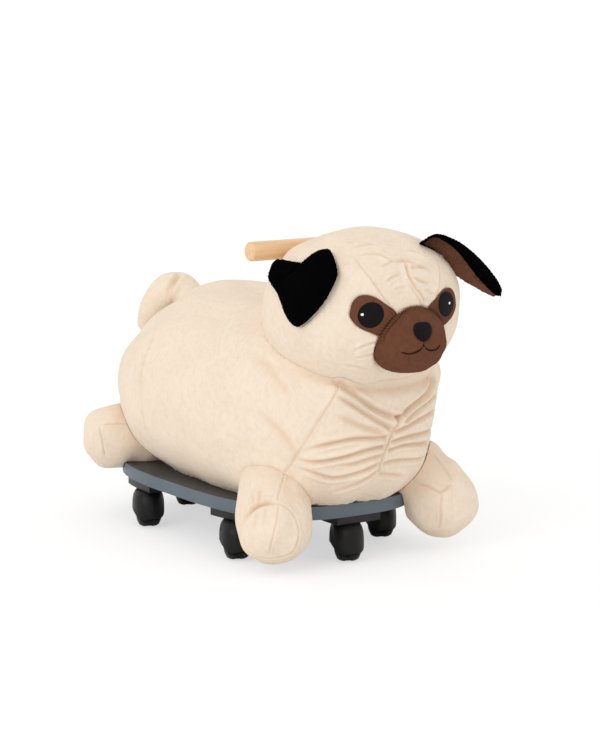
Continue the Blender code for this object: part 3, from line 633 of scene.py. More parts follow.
plushHead = {
    "squares": 126,
    "towards": (0.0, -0.40, 0.05),
    "lump": 0.8 * mm,
    "lumpSize": 55 * mm,
    "sunkUnderPieces": 1.0 * mm,
    "sunkEdge": (1.0, 1.05),  # shares of a sewn piece's outline between which the sunk place ends
    "edgeShadeBand": (1.06, 0.03),  # middle and width of the painted shade round it
    "foldShade": 0.7,
    "edgeShade": 0.35,
    "neckGap": 0.5 * mm,
}
foreheadSeams = (
    (1.5, 1.8, 0.5, 0.15, 0, (-44, 78, -43, 60, -39, 48, -32, 30, -25, 17)),
    (1.5, 1.8, 0.5, 0.15, 0, (46, 76, 45, 60, 41, 46, 36, 30, 30, 17)),
    (2.6, 3.0, 1.2, 0.25, 0.1, (2, 72, 1, 60, 1, 49, 5, 37, 11, 27, 17, 14)),
    (1.8, 2.6, 0.9, 0.25, 0.1, (-4, 44, 2, 34, 8, 22, 11, 12)),
)
foreheadWrinkles = (
    (1.3, 2.4, 0.8, 0.3, 0.3, (-45, 80, -32, 83, -21, 84, -13, 80)),
    (1.6, 2.6, 0.9, 0.3, 0.3, (-44, 73, -31, 75, -20, 73, -12, 66, -2, 65)),
    (1.3, 2.2, 0.8, 0.3, 0.3, (-28, 61, -18, 63, -8, 67)),
    (2.0, 3.0, 1.2, 0.3, 0.3, (-15, 62, 0, 65, 14, 60, 28, 51)),
    (1.4, 2.4, 0.8, 0.3, 0.3, (-27, 42, -16, 49, -6, 51)),
    (1.8, 2.8, 1.1, 0.2, 0.4, (3, 57, 20, 56, 35, 49)),
    (1.8, 2.8, 1.1, 0.2, 0.4, (4, 47, 15, 41, 29, 35)),
    (1.1, 2.4, 0.7, 0.3, 0.3, (-43, 86, -34, 87, -23, 86)),
    (1.2, 2.6, 0.8, 0.3, 0.3, (10, 78, 22, 74, 34, 66)),
    (1.0, 2.4, 0.7, 0.3, 0.3, (-10, 88, 2, 87, 14, 84)),
    (1.2, 2.4, 0.7, 0.3, 0.2, (15, 33, 24, 27, 32, 22)),
    (1.0, 2.2, 0.6, 0.3, 0.3, (-20, 34, -11, 36, -2, 35)),
)
cheekWrinkles = (
    (1.3, 2.6, 0.8, 0.4, 0.1, (-56, -40, -45, -30, -34, -26)),
    (1.3, 2.6, 0.8, 0.4, 0.1, (-52, -48, -41, -42, -31, -39)),
    (1.1, 3.6, 0.8, 0.4, 0.3, (-60, -54, -42, -58, -24, -62)),
    (1.3, 2.6, 0.8, 0.1, 0.4, (34, -28, 45, -31, 57, -38)),
    (1.3, 2.6, 0.8, 0.1, 0.4, (31, -40, 42, -43, 54, -50)),
)


def tangentAxes(form, way):
    way = unit(np.array(way, float))
    side = unit(np.cross((0.0, 0.0, 1.0), way))
    reach = np.linalg.norm(formPoint(form, way)[0] - form["centre"])
    return way, side, np.cross(way, side), reach


def tangentWay(form, way, flat):
    # The ways to places across and up from a way, on the plane that touches the form there
    way, side, up, reach = tangentAxes(form, way)
    return way + flat[..., :1] / reach * side + flat[..., 1:] / reach * up


def outlineReach(outline):
    # A closed outline in mm about its middle, as the reach at each angle
    curve = smoothPath(outline, 12, closed=True) * mm
    angles = np.arctan2(curve[:, 1], curve[:, 0])
    order = np.argsort(angles)
    angles, reach = angles[order], np.hypot(*curve[order].T)
    return lambda angle: np.interp(angle, angles, reach, period=2 * math.pi)


def insideOutline(points, host, way, outline):
    # 1 on a sewn piece's outline, less inside it, for points on its host, and far more on the host's other side
    way, side, up, reach = tangentAxes(host, way)
    ways, _ = formPlace(host, points)
    ahead = ways @ way
    flat = np.stack((ways @ side, ways @ up), 1) / np.maximum(ahead, 1e-3)[:, None] * reach
    share = np.hypot(*flat.T) / outlineReach(outline)(np.arctan2(flat[:, 1], flat[:, 0]))
    return np.where(ahead > 0.2, share, 9.0)


eyePatch = {
    "way": (0.40, -0.91, 0.05),
    "squares": 56,
    "thick": 2.4 * mm,
    "edge": 0.35,
    "sunkUnderEye": 0.9 * mm,
    "eyeEdge": (0.92, 1.02),  # it sinks between these shares of the eye's outline, and of the muzzle's size
    "muzzleEdge": (0.96, 1.02),
    "underMuzzle": 0.97,  # share of its height that it loses there
    "gatherBand": (1.02, 0.14),  # middle and width of the gathers along the muzzle's rim
    "gatherShare": 0.6,
    "outline": (  # on the dog's left, from the outer end round over the top, across and up in mm
        (26, 0), (26, 9), (24.5, 18), (20, 25), (14, 27.5), (6, 26.5), (-2, 22.5), (-8, 17.5), (-15, 12), (-22, 6),
        (-26, -1), (-27, -10), (-20, -21), (-9, -27), (-4, -25), (3, -21), (10, -17.5), (19, -11),
    ),
}
earFlap = {
    "way": (-0.890, -0.255, 0.345),
    "squares": 84,
    "thick": 5.0 * mm,
    "edge": 0.45,
    "base": 0.8 * mm,
    "fuzz": 0.30 * mm,
    "stand": 4.5 * mm,  # it hangs free of the head beyond the fold
    "hinge": (-20 * mm, 20 * mm),
    "hingeReach": (10 * mm, 60 * mm),
    "corner": (-64 * mm, 22 * mm, 4.0 * mm),  # place, width and rise of the corner that turns up
    "wave": (9 * mm, 1.2 * mm),
    "groove": (3.2 * mm, 2.6 * mm),  # width and depth of the fold
    "outline": (
        (-62, 12), (-69, 27), (-71.5, 35), (-68, 40), (-56, 40.5), (-32, 38.5), (-19, 37), (-13, 38.5), (-8, 44),
        (0, 53), (12, 61), (20, 63.5), (26, 59), (36, 48), (46, 34), (50, 22), (49, 1), (42, -21), (28, -43),
        (17, -53), (11, -54), (-2, -45), (-18, -28), (-34, -11), (-53, 3),
    ),
    "fold": ((-15, 38, 0), (-15, 28, 0), (-21, 18, 0), (-34, 9, 0), (-52, 4, 0)),
}
muzzleForm = formSizes((3.0, -252.4, 278.4), 45.5, 36, 36, 40.5, 39.5, 2.2, plan=2.3, taper=-0.10)


def patchPlace(side):
    return np.array(eyePatch["way"]) * (side, 1, 1), np.array(eyePatch["outline"]) * (side, 1)


def makeHead():
    size = plushHead
    points, normals, quads = formGrid(headForm, size["squares"], size["towards"])
    move, fold = carve(points, frontCreases(headForm, foreheadSeams + foreheadWrinkles + cheekWrinkles))
    move += size["lump"] * lumps(points, size["lumpSize"], 11)
    # the cover lies a little lower under each sewn piece
    covered = np.minimum(
        formPlace(muzzleForm, points)[1], insideOutline(points, headForm, earFlap["way"], earFlap["outline"])
    )
    for _, side in sides:
        way, outline = patchPlace(side)
        covered = np.minimum(covered, insideOutline(points, headForm, way, outline))
    under = 1 - smoothStep(covered, *size["sunkEdge"])
    middle, width = size["edgeShadeBand"]
    move = move * (1 - under) - size["sunkUnderPieces"] * under
    points = points + normals * move[:, None]
    points = cutBack(points, bodyForm, size["neckGap"], headForm["centre"], bodyHeight)
    # painted shade in the creases and in a band round each sewn piece
    shade = np.maximum(size["foldShade"] * fold * (1 - under), size["edgeShade"] * hump(covered - middle, width))
    return newMesh("head_cover", points, quads, creamPlush, shade)


keep(makeHead(), "cream_plush", "plush_head", fill=0.85)
print("head ready")


thinPiece = {
    "edgeShade": (2.2, 0.6),  # how fast the shade at its edge falls off as it rises, and how dark it is
    "fuzz": (2.6 * mm, 40),  # size of the pile's unevenness, and how many waves make it up
}


def fuzzy(points, quads, height, seed):
    size, waves = thinPiece["fuzz"]
    return points + surfaceNormals(points, quads) * (height * lumps(points, size, seed, waves))[:, None]


def sewnPiece(name, host, way, outline, thick, finish, squares, base=0.4 * mm, edge=0.6, fuzz=0.0, shape=None):
    # A ball's skin flattened on its host: its middle ring follows the outline, its upper half rises to the
    # thickness and its lower half lies flat a small gap over the host
    ways, quads = cubeGrid(squares)
    angle = np.arctan2(ways[:, 1], ways[:, 0])
    flat = np.hypot(ways[:, 0], ways[:, 1])[:, None] * outlineReach(outline)(angle)[:, None]
    flat = flat * np.stack((np.cos(angle), np.sin(angle)), 1)
    rise = np.clip(ways[:, 2], 0, 1) ** edge
    lift = base + thick * rise
    fall, shade = thinPiece["edgeShade"]
    fold = np.clip(1 - rise * fall, 0, 1) * shade
    if shape is not None:
        lift, fold = shape(flat, rise, lift, fold)
    points = formPoint(host, tangentWay(host, way, flat), lift)
    return newMesh(name, fuzzy(points, quads, fuzz, 21) if fuzz else points, quads, finish, fold)


# Face: brown patches round the eyes, a padded muzzle with a dished mouth line, nose and eyes in satin stitch

face = {
    "eyeWay": {"left": (0.436, -0.890, 0.110), "right": (-0.435, -0.895, 0.064)},
    "eyeHalf": (14.0, 16.4),
    "eyeThick": 1.5 * mm,
    "eyeLift": 2.0 * mm,
    "eyeEdge": 0.45,
    "eyeSquares": 24,
    "glint": {"left": (3.6, 0.8), "right": (-9.2, 1.0)},  # across and up from its eye's middle in mm
    "glintHalf": (1.7, 1.7),
    "glintThick": 0.5 * mm,
    "glintSunk": 0.3 * mm,
    "glintSquares": 8,
    "noseWay": (-0.07, -0.94, 0.29),
    "noseSquares": 22,
    "noseThick": 4.0 * mm,
    "noseLift": 0.5 * mm,
    "noseOutline": (
        (9.7, 1), (9.2, 5), (6.5, 8.4), (0, 9), (-6.5, 8.4), (-9.2, 5), (-9.7, 1), (-7.8, -5), (-3, -9.8), (3, -9.8),
        (7.8, -5),
    ),
}
muzzle = {
    "squares": 92,
    "towards": (0, -0.25, 0),
    "gathers": round(2 * math.pi * 43 / 3.4),  # one each 3.4 mm along a rim of 43 mm radius
    "gatherDepth": 0.7 * mm,
    "gatherShade": 0.9,
    "gatherReach": 8.0 * mm,  # how far they run out from the head
    "headSize": 105 * mm,
    "gatherLow": (-12 * mm, 4 * mm),  # they fade in between these heights from the muzzle's middle
    "lumps": ((0.5 * mm, 22 * mm, 31, 14), (0.12 * mm, 2.4 * mm, 33, 30)),  # height, size, seed and waves
    "headGap": 0.3 * mm,
    "cutGoal": (0, 24 * mm, 4 * mm),  # what lies in the head slides to a place this far ahead and below the middle
    "mouthCrease": (1.0, 1.6, 0.4, 0, 0.15),
    "rimCrease": (0.7, 1.3, 0.3, 0.1, 0.1),
    "rimClear": 1.03,
    "mouthRadius": 0.55 * mm,
    "mouthSunk": 0.05 * mm,
    "stitchLength": 1.9 * mm,
    "stitchPitch": 1.45,  # stitches and gaps in stitch lengths
    "stitchRadius": 0.26 * mm,
    "stitchOut": 0.15 * mm,
    "mouth": {  # the stitched lines, across and up in hundredths
        "philtrum": (-7, 6, -9, -9),
        "lip_left": (-9, -9, 2, -21, 18, -27, 34, -24, 45, -16),
        "lip_right": (-9, -9, -17, -21, -30, -28, -45, -31, -60, -26),
    },
    "rimSeam": (-93, 2, -90, 20, -80, 40, -62, 60, -40, 78, -10, 90, 14, 90, 42, 78, 64, 58, 82, 38, 92, 16),
}


def oval(halfWidth, halfHeight, steps=16):
    angles = np.linspace(0, 2 * math.pi, steps, endpoint=False)
    return np.stack((halfWidth * np.cos(angles), halfHeight * np.sin(angles)), 1)


def muzzleGather(points):
    # gathers fan out round the muzzle's middle, one each few millimetres along its rim
    around = points - muzzleForm["centre"]
    return np.sin(np.arctan2(around[:, 2], around[:, 0]) * muzzle["gathers"])


def makeEye(label, side):
    eyeOutline = oval(*face["eyeHalf"])
    patchWay, outline = patchPlace(side)
    eyeWay = np.array(face["eyeWay"][label])

    def patchShape(flat, rise, lift, fold):
        points = formPoint(headForm, tangentWay(headForm, patchWay, flat))
        share = formPlace(muzzleForm, points)[1]
        underEye = 1 - smoothStep(insideOutline(points, headForm, eyeWay, eyeOutline), *eyePatch["eyeEdge"])
        underMuzzle = 1 - smoothStep(share, *eyePatch["muzzleEdge"])
        middle, width = eyePatch["gatherBand"]
        gather = hump(share - middle, width) * (rise > 0) * (1 - underEye)
        wave = muzzleGather(points)
        lift = lift - underEye * eyePatch["sunkUnderEye"] * (rise > 0)
        lift = lift + gather * muzzle["gatherDepth"] * eyePatch["gatherShare"] * wave
        fold = np.maximum(fold, gather * np.clip(-wave, 0, 1) * muzzle["gatherShade"])
        return lift * (1 - eyePatch["underMuzzle"] * underMuzzle), fold

    patch = sewnPiece(
        f"eye_patch_cover_{label}", headForm, patchWay, outline, eyePatch["thick"], brownPlush, eyePatch["squares"],
        edge=eyePatch["edge"], shape=patchShape,
    )
    keep(patch, "brown_plush", f"eye_patch_{label}", fill=0.4)
    eye = sewnPiece(
        f"eye_disc_{label}", headForm, eyeWay, eyeOutline, face["eyeThick"], blackThread, face["eyeSquares"],
        base=face["eyeLift"], edge=face["eyeEdge"],
    )
    keep(eye, "embroidery", f"eye_{label}")
    glintWay = tangentWay(headForm, eyeWay, np.array(face["glint"][label]) * mm)
    glint = sewnPiece(
        f"eye_glint_{label}", headForm, glintWay, oval(*face["glintHalf"]), face["glintThick"], whiteStitch,
        face["glintSquares"], base=face["eyeLift"] + face["eyeThick"] - face["glintSunk"],
    )
    keep(glint, "embroidery")


def makeMuzzle():
    size, centre = muzzle, muzzleForm["centre"]
    points, normals, quads = formGrid(muzzleForm, size["squares"], size["towards"])
    creases = frontCreases(muzzleForm, [(*size["mouthCrease"], path) for path in size["mouth"].values()])
    seamPath = frontPath(muzzleForm, size["rimSeam"])
    seamPath = seamPath[formPlace(headForm, seamPath)[1] > size["rimClear"]]
    move, fold = carve(points, creases + [crease(seamPath, *size["rimCrease"])])
    # gathers cross the band between the rim and the stitched seam
    over = np.clip(formPlace(headForm, points)[1] - 1, 0, 1) * size["headSize"]
    lowest, full = (centre[2] + height for height in size["gatherLow"])
    band = hump(over, size["gatherReach"]) * smoothStep(points[:, 2], lowest, full)
    wave = muzzleGather(points)
    move += band * size["gatherDepth"] * wave
    move += sum(height * lumps(points, *more) for height, *more in size["lumps"])
    fold = np.maximum(fold, band * np.clip(-wave, 0, 1) * size["gatherShade"])
    points = points + normals * move[:, None]
    points = cutBack(points, headForm, size["headGap"], centre - size["cutGoal"])
    keep(newMesh("muzzle_cover", points, quads, brownPlush, fold), "brown_plush", "muzzle", fill=0.8)
    for label, path in size["mouth"].items():
        line = frontPath(muzzleForm, path, steps=10) - (0, size["mouthSunk"], 0)
        keep(newMesh(f"mouth_stitch_{label}", *tube(line, size["mouthRadius"], 8), blackThread), "embroidery")
    keep(runningStitch("muzzle_seam_stitches", seamPath, brownThread), "embroidery")


def runningStitch(name, path, finish):
    # Short round threads end to end along a path, with a gap between each and the next
    total = np.concatenate(([0], np.cumsum(np.linalg.norm(np.diff(path, axis=0), axis=1))))
    length = muzzle["stitchLength"]
    points, faces = [], []
    for start in np.arange(0, total[-1] - length, length * muzzle["stitchPitch"]):
        at = start + np.linspace(0, length, 4)
        line = np.stack([np.interp(at, total, path[:, axis]) for axis in range(3)], 1)
        outward = unit(line.mean(0) - muzzleForm["centre"]) * muzzle["stitchOut"]
        some, ring = tube(line + outward, muzzle["stitchRadius"], 6)
        faces += [tuple(k + len(points) * len(some) for k in one) for one in ring]
        points.append(some)
    return newMesh(name, np.vstack(points), faces, finish)


def tube(path, radii, steps):
    # A round section carried along a path, square to it, with a blunt cap at each end
    path = np.asarray(path, float)
    radii = np.broadcast_to(np.asarray(radii, float), (len(path),))
    ahead = unit(np.gradient(path, axis=0))
    helper = np.array((0.0, 0.0, 1.0)) if abs(ahead[:, 2]).mean() < 0.8 else np.array((1.0, 0.0, 0.0))
    side = unit(np.cross(ahead, helper))
    over = np.cross(ahead, side)
    angles = np.linspace(0, 2 * math.pi, steps, endpoint=False)[:, None]
    ring = np.cos(angles) * side[:, None, :] + np.sin(angles) * over[:, None, :]
    body = path[:, None, :] + radii[:, None, None] * ring
    start, end = path[0] - ahead[0] * radii[0] * 0.6, path[-1] + ahead[-1] * radii[-1] * 0.6
    return np.vstack((start, body.reshape(-1, 3), end)), ringFaces(len(path), steps)


def ringFaces(rows, steps):
    # Rings of points one after another, between a first point and a last one, joined into a closed skin
    k = np.arange(steps)
    after = (k + 1) % steps
    pairs = list(zip(k.tolist(), after.tolist()))
    faces = [(0, 1 + b, 1 + a) for a, b in pairs]
    for low in range(1, 1 + (rows - 1) * steps, steps):
        high = low + steps
        faces += np.stack((low + k, low + after, high + after, high + k), 1).tolist()
    last = 1 + (rows - 1) * steps
    return faces + [(last + a, last + b, last + steps) for a, b in pairs]


makeMuzzle()
for label, side in sides:
    makeEye(label, side)
nose = sewnPiece(
    "nose_pad", muzzleForm, face["noseWay"], face["noseOutline"], face["noseThick"], blackThread, face["noseSquares"],
    base=face["noseLift"],
)
keep(nose, "embroidery", "nose", fill=0.7)
print("face ready")


# Ears: the right one folded down over the head, the left one flung out with its lining showing

def makeFoldedEar():
    foldLine = smoothPath(np.array(earFlap["fold"]) * mm)

    def flapShape(flat, rise, lift, fold):
        x, y = flat.T
        gap, _ = nearPath(np.column_stack((flat, np.zeros(len(flat)))), foldLine)
        width, depth = earFlap["groove"]
        groove = depth * np.exp(-((gap / width) ** 1.5)) * rise
        hingeX, hingeY = earFlap["hinge"]
        free = smoothStep(np.hypot(x - hingeX, y - hingeY), *earFlap["hingeReach"])
        place, width, turnedUp = earFlap["corner"]
        pitch, height = earFlap["wave"]
        wavy = height * np.sin(x / pitch + 1.0) * free
        return lift + earFlap["stand"] * free + wavy + turnedUp * hump(x - place, width) - groove, fold

    flap = sewnPiece(
        "ear_flap_right", headForm, earFlap["way"], earFlap["outline"], earFlap["thick"], blackPlush,
        earFlap["squares"], base=earFlap["base"], edge=earFlap["edge"], fuzz=earFlap["fuzz"], shape=flapShape,
    )
    keep(flap, "black_plush", "ear_right", fill=0.4)


flungEar = {
    "squares": 56,
    "root": (0.40, -0.52, 0.75),
    "reach": (0.855, -0.05, -0.515),
    "face": (0.42, 0.38, 0.82),
    "length": 134 * mm,
    "sewnIn": 12 * mm,
    "widths": ((0.0, 12), (0.12, 16), (0.3, 21.5), (0.5, 24), (0.7, 20.5), (0.86, 14), (0.95, 8), (1.0, 0)),
    # how high its upper edge stands up
    "raised": ((0, 0), (0.03, 8), (0.07, 12), (0.12, 13), (0.3, 10), (0.5, 5), (0.7, 2), (1, 2)),
    "thick": 5.0 * mm,
    "bow": 15 * mm,
    "cup": 9 * mm,
    "cupWidth": 25 * mm,
    "upperSide": (0.2, 0.8),  # between these shares across it, the ear thickens towards its upper edge
    "thicker": 0.6,
    "liningSpan": (0.03, 0.93),  # start and length of the lining along the ear
    "liningRim": 0.93,
    "liningEdge": ((0.0, -0.95), (0.12, -0.75), (0.3, -0.36), (0.5, -0.06), (0.7, 0.22), (0.86, 0.36), (1.0, 0.5)),
    "liningThick": 0.35,
    "liningSunk": (0.54, 0.3),
    "liningShade": (0.3, 0.34),  # it darkens towards the root: over this share of the length, and from this one on
    "fuzz": 0.22 * mm,
    "headGap": 0.5 * mm,
    "cutGoal": (45 * mm, 12 * mm),  # what lies in the head slides to a place this far along and over the root
}


def makeFlungEar():
    # Each part is a flattened ball: t runs down the ear from its root, s across it, and the ball's own thickness
    # is laid on a trough that bows along the ear and cups across it
    ear = flungEar
    along = unit(np.array(ear["reach"]))
    over = unit(np.array(ear["face"]) - along * (np.array(ear["face"]) @ along))
    across = np.cross(over, along)
    root = formPoint(headForm, ear["root"])[0] - along * ear["sewnIn"]
    goalAlong, goalOver = ear["cutGoal"]

    def at(t, key):
        return np.interp(t, *np.array(ear[key]).T)

    def girthAt(t):
        return 2 * np.sqrt(np.clip(t * (1 - t), 0, 1))

    parts = (("back", blackPlush, "black_plush", ["ear_left"]), ("lining", liningPlush, "brown_plush", []))
    for label, finish, slotName, replaced in parts:
        lining = label == "lining"
        ways, quads = cubeGrid(ear["squares"])
        t = (1 - ways[:, 2]) / 2
        s = -ways[:, 0] / np.maximum(girthAt(t), 1e-6)
        rise = ways[:, 1] * ear["thick"] / 2
        if lining:
            # it covers the lower side of the ear's face, from a little inside its edge to a wavy inner edge
            t = ear["liningSpan"][0] + ear["liningSpan"][1] * t
            inner = at(t, "liningEdge")
            s = inner + (ear["liningRim"] - inner) * (s + 1) / 2
            sunk, deeper = ear["liningSunk"]
            sunk = sunk + deeper * smoothStep(-s, *ear["upperSide"]) * girthAt(t)
            rise = rise * ear["liningThick"] - ear["thick"] * sunk
        else:
            rise = rise * (1 + ear["thicker"] * smoothStep(-s, *ear["upperSide"]))
        width = at(t, "widths") * mm * s
        bowed = ear["bow"] * np.sin(math.pi * t**0.9) - ear["cup"] * (width / ear["cupWidth"]) ** 2
        rise = rise + bowed + at(t, "raised") * mm * (1 - s) / 2
        points = root + along * (t * ear["length"])[:, None] + across * width[:, None] + over * rise[:, None]
        points = fuzzy(points, quads, ear["fuzz"], 61)
        points = cutBack(points, headForm, ear["headGap"], root + along * goalAlong + over * goalOver)
        reach, end = ear["liningShade"]
        shade = smoothStep(end - t, 0, reach) if lining else np.zeros(len(points))
        piece = newMesh(f"ear_{label}_left", points, quads, finish, shade)
        keep(piece, slotName, *replaced, fill=0.4)


makeFoldedEar()
makeFlungEar()
print("ears ready")


# Legs: stubby stuffed bolsters sewn to the flanks, with a round sole at the end

# Seams on the right front leg, as ways in the leg's own axes, in hundredths
soleRing = (
    9, 88, -47, -21, 84, -50, -44, 68, -58, -53, 46, -72, -48, 25, -84, -32, 3, -95, 10, -10, -99, 50, -3, -87,
    71, 2, -70, 75, 24, -63, 65, 52, -55, 40, 78, -49,
)
legSeams = (  # depth, width, swelling in mm, fades in and out, ways
    (1.1, 2.0, 0.5, 0, 0, soleRing + soleRing[:3]),
    (1.1, 1.6, 0.4, 0, 0.1, (-10, 84, -53, -2, 66, -75, 6, 42, -91, 11, 9, -99)),
    (3.6, 4.2, 1.8, 0.3, 0.4, (72, 35, -60, 52, 68, -52, 32, 82, -47, 9, 88, -46, -15, 86, -48)),
    (1.1, 1.8, 0.4, 0, 0, (-33, 95, 30, -30, 95, 1, -19, 96, -20, -8, 90, -42)),
    (1.0, 2.6, 0.8, 0.1, 0.5, (30, 80, -49, 34, 88, -30, 36, 92, -12)),
    (0.9, 2.6, 0.8, 0.1, 0.5, (42, 75, -49, 52, 79, -32, 60, 78, -16)),
    (0.8, 2.6, 0.6, 0.1, 0.5, (18, 84, -50, 22, 72, -66, 26, 55, -80)),
    (0.9, 2.8, 0.7, 0.1, 0.5, (36, 76, -54, 42, 62, -66, 46, 46, -76)),
)
# The left front leg and the rear legs have a short cross of seams in place of the sole's ring
leftFrontSeams = (
    (1.5, 1.8, 0.5, 0.1, 0.1, (75, 47, -46, 78, 17, -60, 57, -31, -76)),
    (1.8, 2.6, 0.9, 0.2, 0.1, (99, 7, -9, 92, 32, -23, 80, 44, -41, 75, 48, -45, 48, 76, -45)),
    (1.4, 2.2, 0.6, 0.1, 0.1, (30, 95, 6, 38, 90, -21, 48, 76, -45)),
)
rearSeams = (
    (1.5, 1.8, 0.5, 0.1, 0.1, (-66, 41, -63, -78, 49, -38, -86, 50, -9)),
    (1.5, 1.8, 0.5, 0.1, 0.1, (-65, 36, -67, -78, -1, -63, -69, -43, -58)),
)
legSeamLists = {  # each leg's seams, and the side that they are drawn for
    ("front", "left"): (leftFrontSeams, 1),
    ("front", "right"): (legSeams, 1),
    ("rear", "left"): (rearSeams, -1),
    ("rear", "right"): (rearSeams, 1),
}
boardShape = {
    "length": 436 * mm, "width": 258 * mm, "bottom": 55 * mm, "top": 71 * mm, "power": 3.0, "middle": 53.4 * mm,
}


def offBoard(points, gap):
    # Points within the board's outline rise to its top or move out to its edge, whichever is nearer
    size = boardShape
    flat = points[:, :2] - (0, size["middle"])
    angles = np.arctan2(flat[:, 1] / size["length"], flat[:, 0] / size["width"])
    c, s = np.cos(angles), np.sin(angles)
    edge = np.stack(((size["width"] / 2 + gap) * c, (size["length"] / 2 + gap) * s), 1)
    edge = edge / superNorm(c, s, size["power"])[:, None]
    outwards = np.hypot(*edge.T) - np.hypot(*flat.T)
    top = size["top"] + gap
    low = (outwards > 0) & (points[:, 2] < top)
    nearer = (top - points[:, 2] < outwards) & (points[:, 2] > size["bottom"] - gap)
    lifted, moved = points.copy(), points.copy()
    lifted[:, 2] = top
    moved[:, :2] = edge + (0, size["middle"])
    return np.where((low & nearer)[:, None], lifted, np.where((low & ~nearer)[:, None], moved, points))


def makeLeg(end, label, side):
    form = legForm(end, side)
    points, normals, quads = formGrid(form, legs["squares"], legs["towards"])
    seams, mirror = legSeamLists[end, label]
    creases = []
    for *sizes, places in seams:
        path = smoothPath(hundredths(places, 3), 6) * (mirror, 1, 1)
        creases.append(crease(formPoint(form, path), *sizes))
    move, fold = carve(points, creases)
    move += legs["lump"] * lumps(points, legs["lumpSize"], 41 + side)
    points = points + normals * move[:, None]
    paw = np.array(legs[end]["paw"]) * mm * (side, 1, 1)
    points = cutBack(points, bodyForm, legs["bodyGap"], paw, bodyHeight)
    points = offBoard(points, legs["boardGap"])
    # painted shade near the body, where the leg is tucked against it
    clear = np.clip(formPlace(bodyForm, points)[1] - 1, 0, 1) * legs["bodySize"]
    fold = np.maximum(fold, legs["tuckShade"] * hump(clear, legs["tuckShadeReach"]))
    piece = newMesh(f"{end}_leg_cover_{label}", points, quads, creamPlush, fold)
    keep(piece, "cream_plush", f"{end}_leg_{label}", fill=0.85)


for place in legPlaces:
    makeLeg(*place)
print("legs ready")


# Tail: a short stuffed curl that folds over and flops on to the rump

tailCurl = {
    "path": (
        (4, 205, 240), (2, 222, 267), (-4, 240, 282), (-12, 250, 282), (-20, 260, 272), (-25, 270, 257),
        (-30, 278, 241), (-35.5, 281, 227),
    ),
    "radii": (17, 20, 20.5, 21.5, 22, 21, 17.5, 11),
    "rowsPerRun": 14,
    "steps": 72,
    "fold": ((-6.1, 238, 303.7), (-16.1, 232, 296.2), (-21.4, 234, 285.3), (-22.4, 246, 271.6), (-25.6, 260, 252.2)),
    "foldCrease": (5.5, 5.0, 2.2, 0.1, 0.3),
    "lump": 0.5 * mm,
    "lumpSize": 34 * mm,
    "bodyGap": 0.8 * mm,
    "clearOfBody": 1.08,
}


def tipward(middle):
    # Where the tail's own middle is inside the body, its skin draws back to the first place outside it
    _, share = formPlace(bodyForm, middle)
    clear = share > tailCurl["clearOfBody"]
    return np.where(clear[:, None], middle, middle[np.argmax(clear)])


def makeTail():
    size = tailCurl
    path = smoothPath(np.array(size["path"]) * mm, size["rowsPerRun"])
    radii = smoothPath(np.array(size["radii"])[:, None] * mm, size["rowsPerRun"])[:, 0]
    points, faces = tube(path, radii, size["steps"])
    middle = np.vstack((path[:1], np.repeat(path, size["steps"], axis=0), path[-1:]))
    outward = unit(points - middle)
    move, shade = carve(points, [crease(smoothPath(np.array(size["fold"]) * mm), *size["foldCrease"])])
    move += size["lump"] * lumps(points, size["lumpSize"], 51)
    points = points + outward * move[:, None]
    points = cutBack(points, bodyForm, size["bodyGap"], tipward(middle), bodyHeight)
    keep(newMesh("tail_cover", points, faces, creamPlush, shade), "cream_plush", "tail", fill=0.8)


makeTail()
print("tail ready")


# Handle bar

handleBar = {
    "radius": 11.5 * mm,
    "length": 219 * mm,
    "round": 4 * mm,
    "place": (0, -91.6 * mm, 369 * mm),
    "endRing": 0.4,  # share of the radius at which each end has one more ring
    "straight": 0.9,  # share of the length with even rings
    "straightRings": 13,
    "roundRings": 8,
}


def turnedSkin(profile, steps=64):
    # A profile of (radius, place along the axis), from one end to the other, turned round X
    profile = np.asarray(profile, float)
    angles = np.linspace(0, 2 * math.pi, steps, endpoint=False)
    rows = profile[1:-1]
    flat = rows[:, None, :1] * np.stack((np.cos(angles), np.sin(angles)), 1)[None]
    along = np.broadcast_to(rows[:, None, 1:], (len(rows), steps, 1))
    body = np.concatenate((along, flat), 2).reshape(-1, 3)
    points = np.vstack(((profile[0, 1], 0, 0), body, (profile[-1, 1], 0, 0)))
    return points, ringFaces(len(rows), steps)


def makeHandle():
    half, radius, curve = handleBar["length"] / 2, handleBar["radius"], handleBar["round"]
    straight = half * handleBar["straight"]
    rim = [(0, -half), (radius * handleBar["endRing"], -half)]
    for a in np.linspace(0, math.pi / 2, handleBar["roundRings"]):
        rim.append((radius - curve + curve * math.sin(a), -half + curve - curve * math.cos(a)))
    bar = [(radius, x) for x in np.linspace(-straight, straight, handleBar["straightRings"])]
    points, faces = turnedSkin(rim + bar + [(r, -x) for r, x in reversed(rim)])
    keep(newMesh("handle_bar", points + handleBar["place"], faces, lacqueredBeech), "beech", "handle_dowel")


makeHandle()


# Casters: a twin-wheel furniture caster with a moulded hood that wraps both wheels

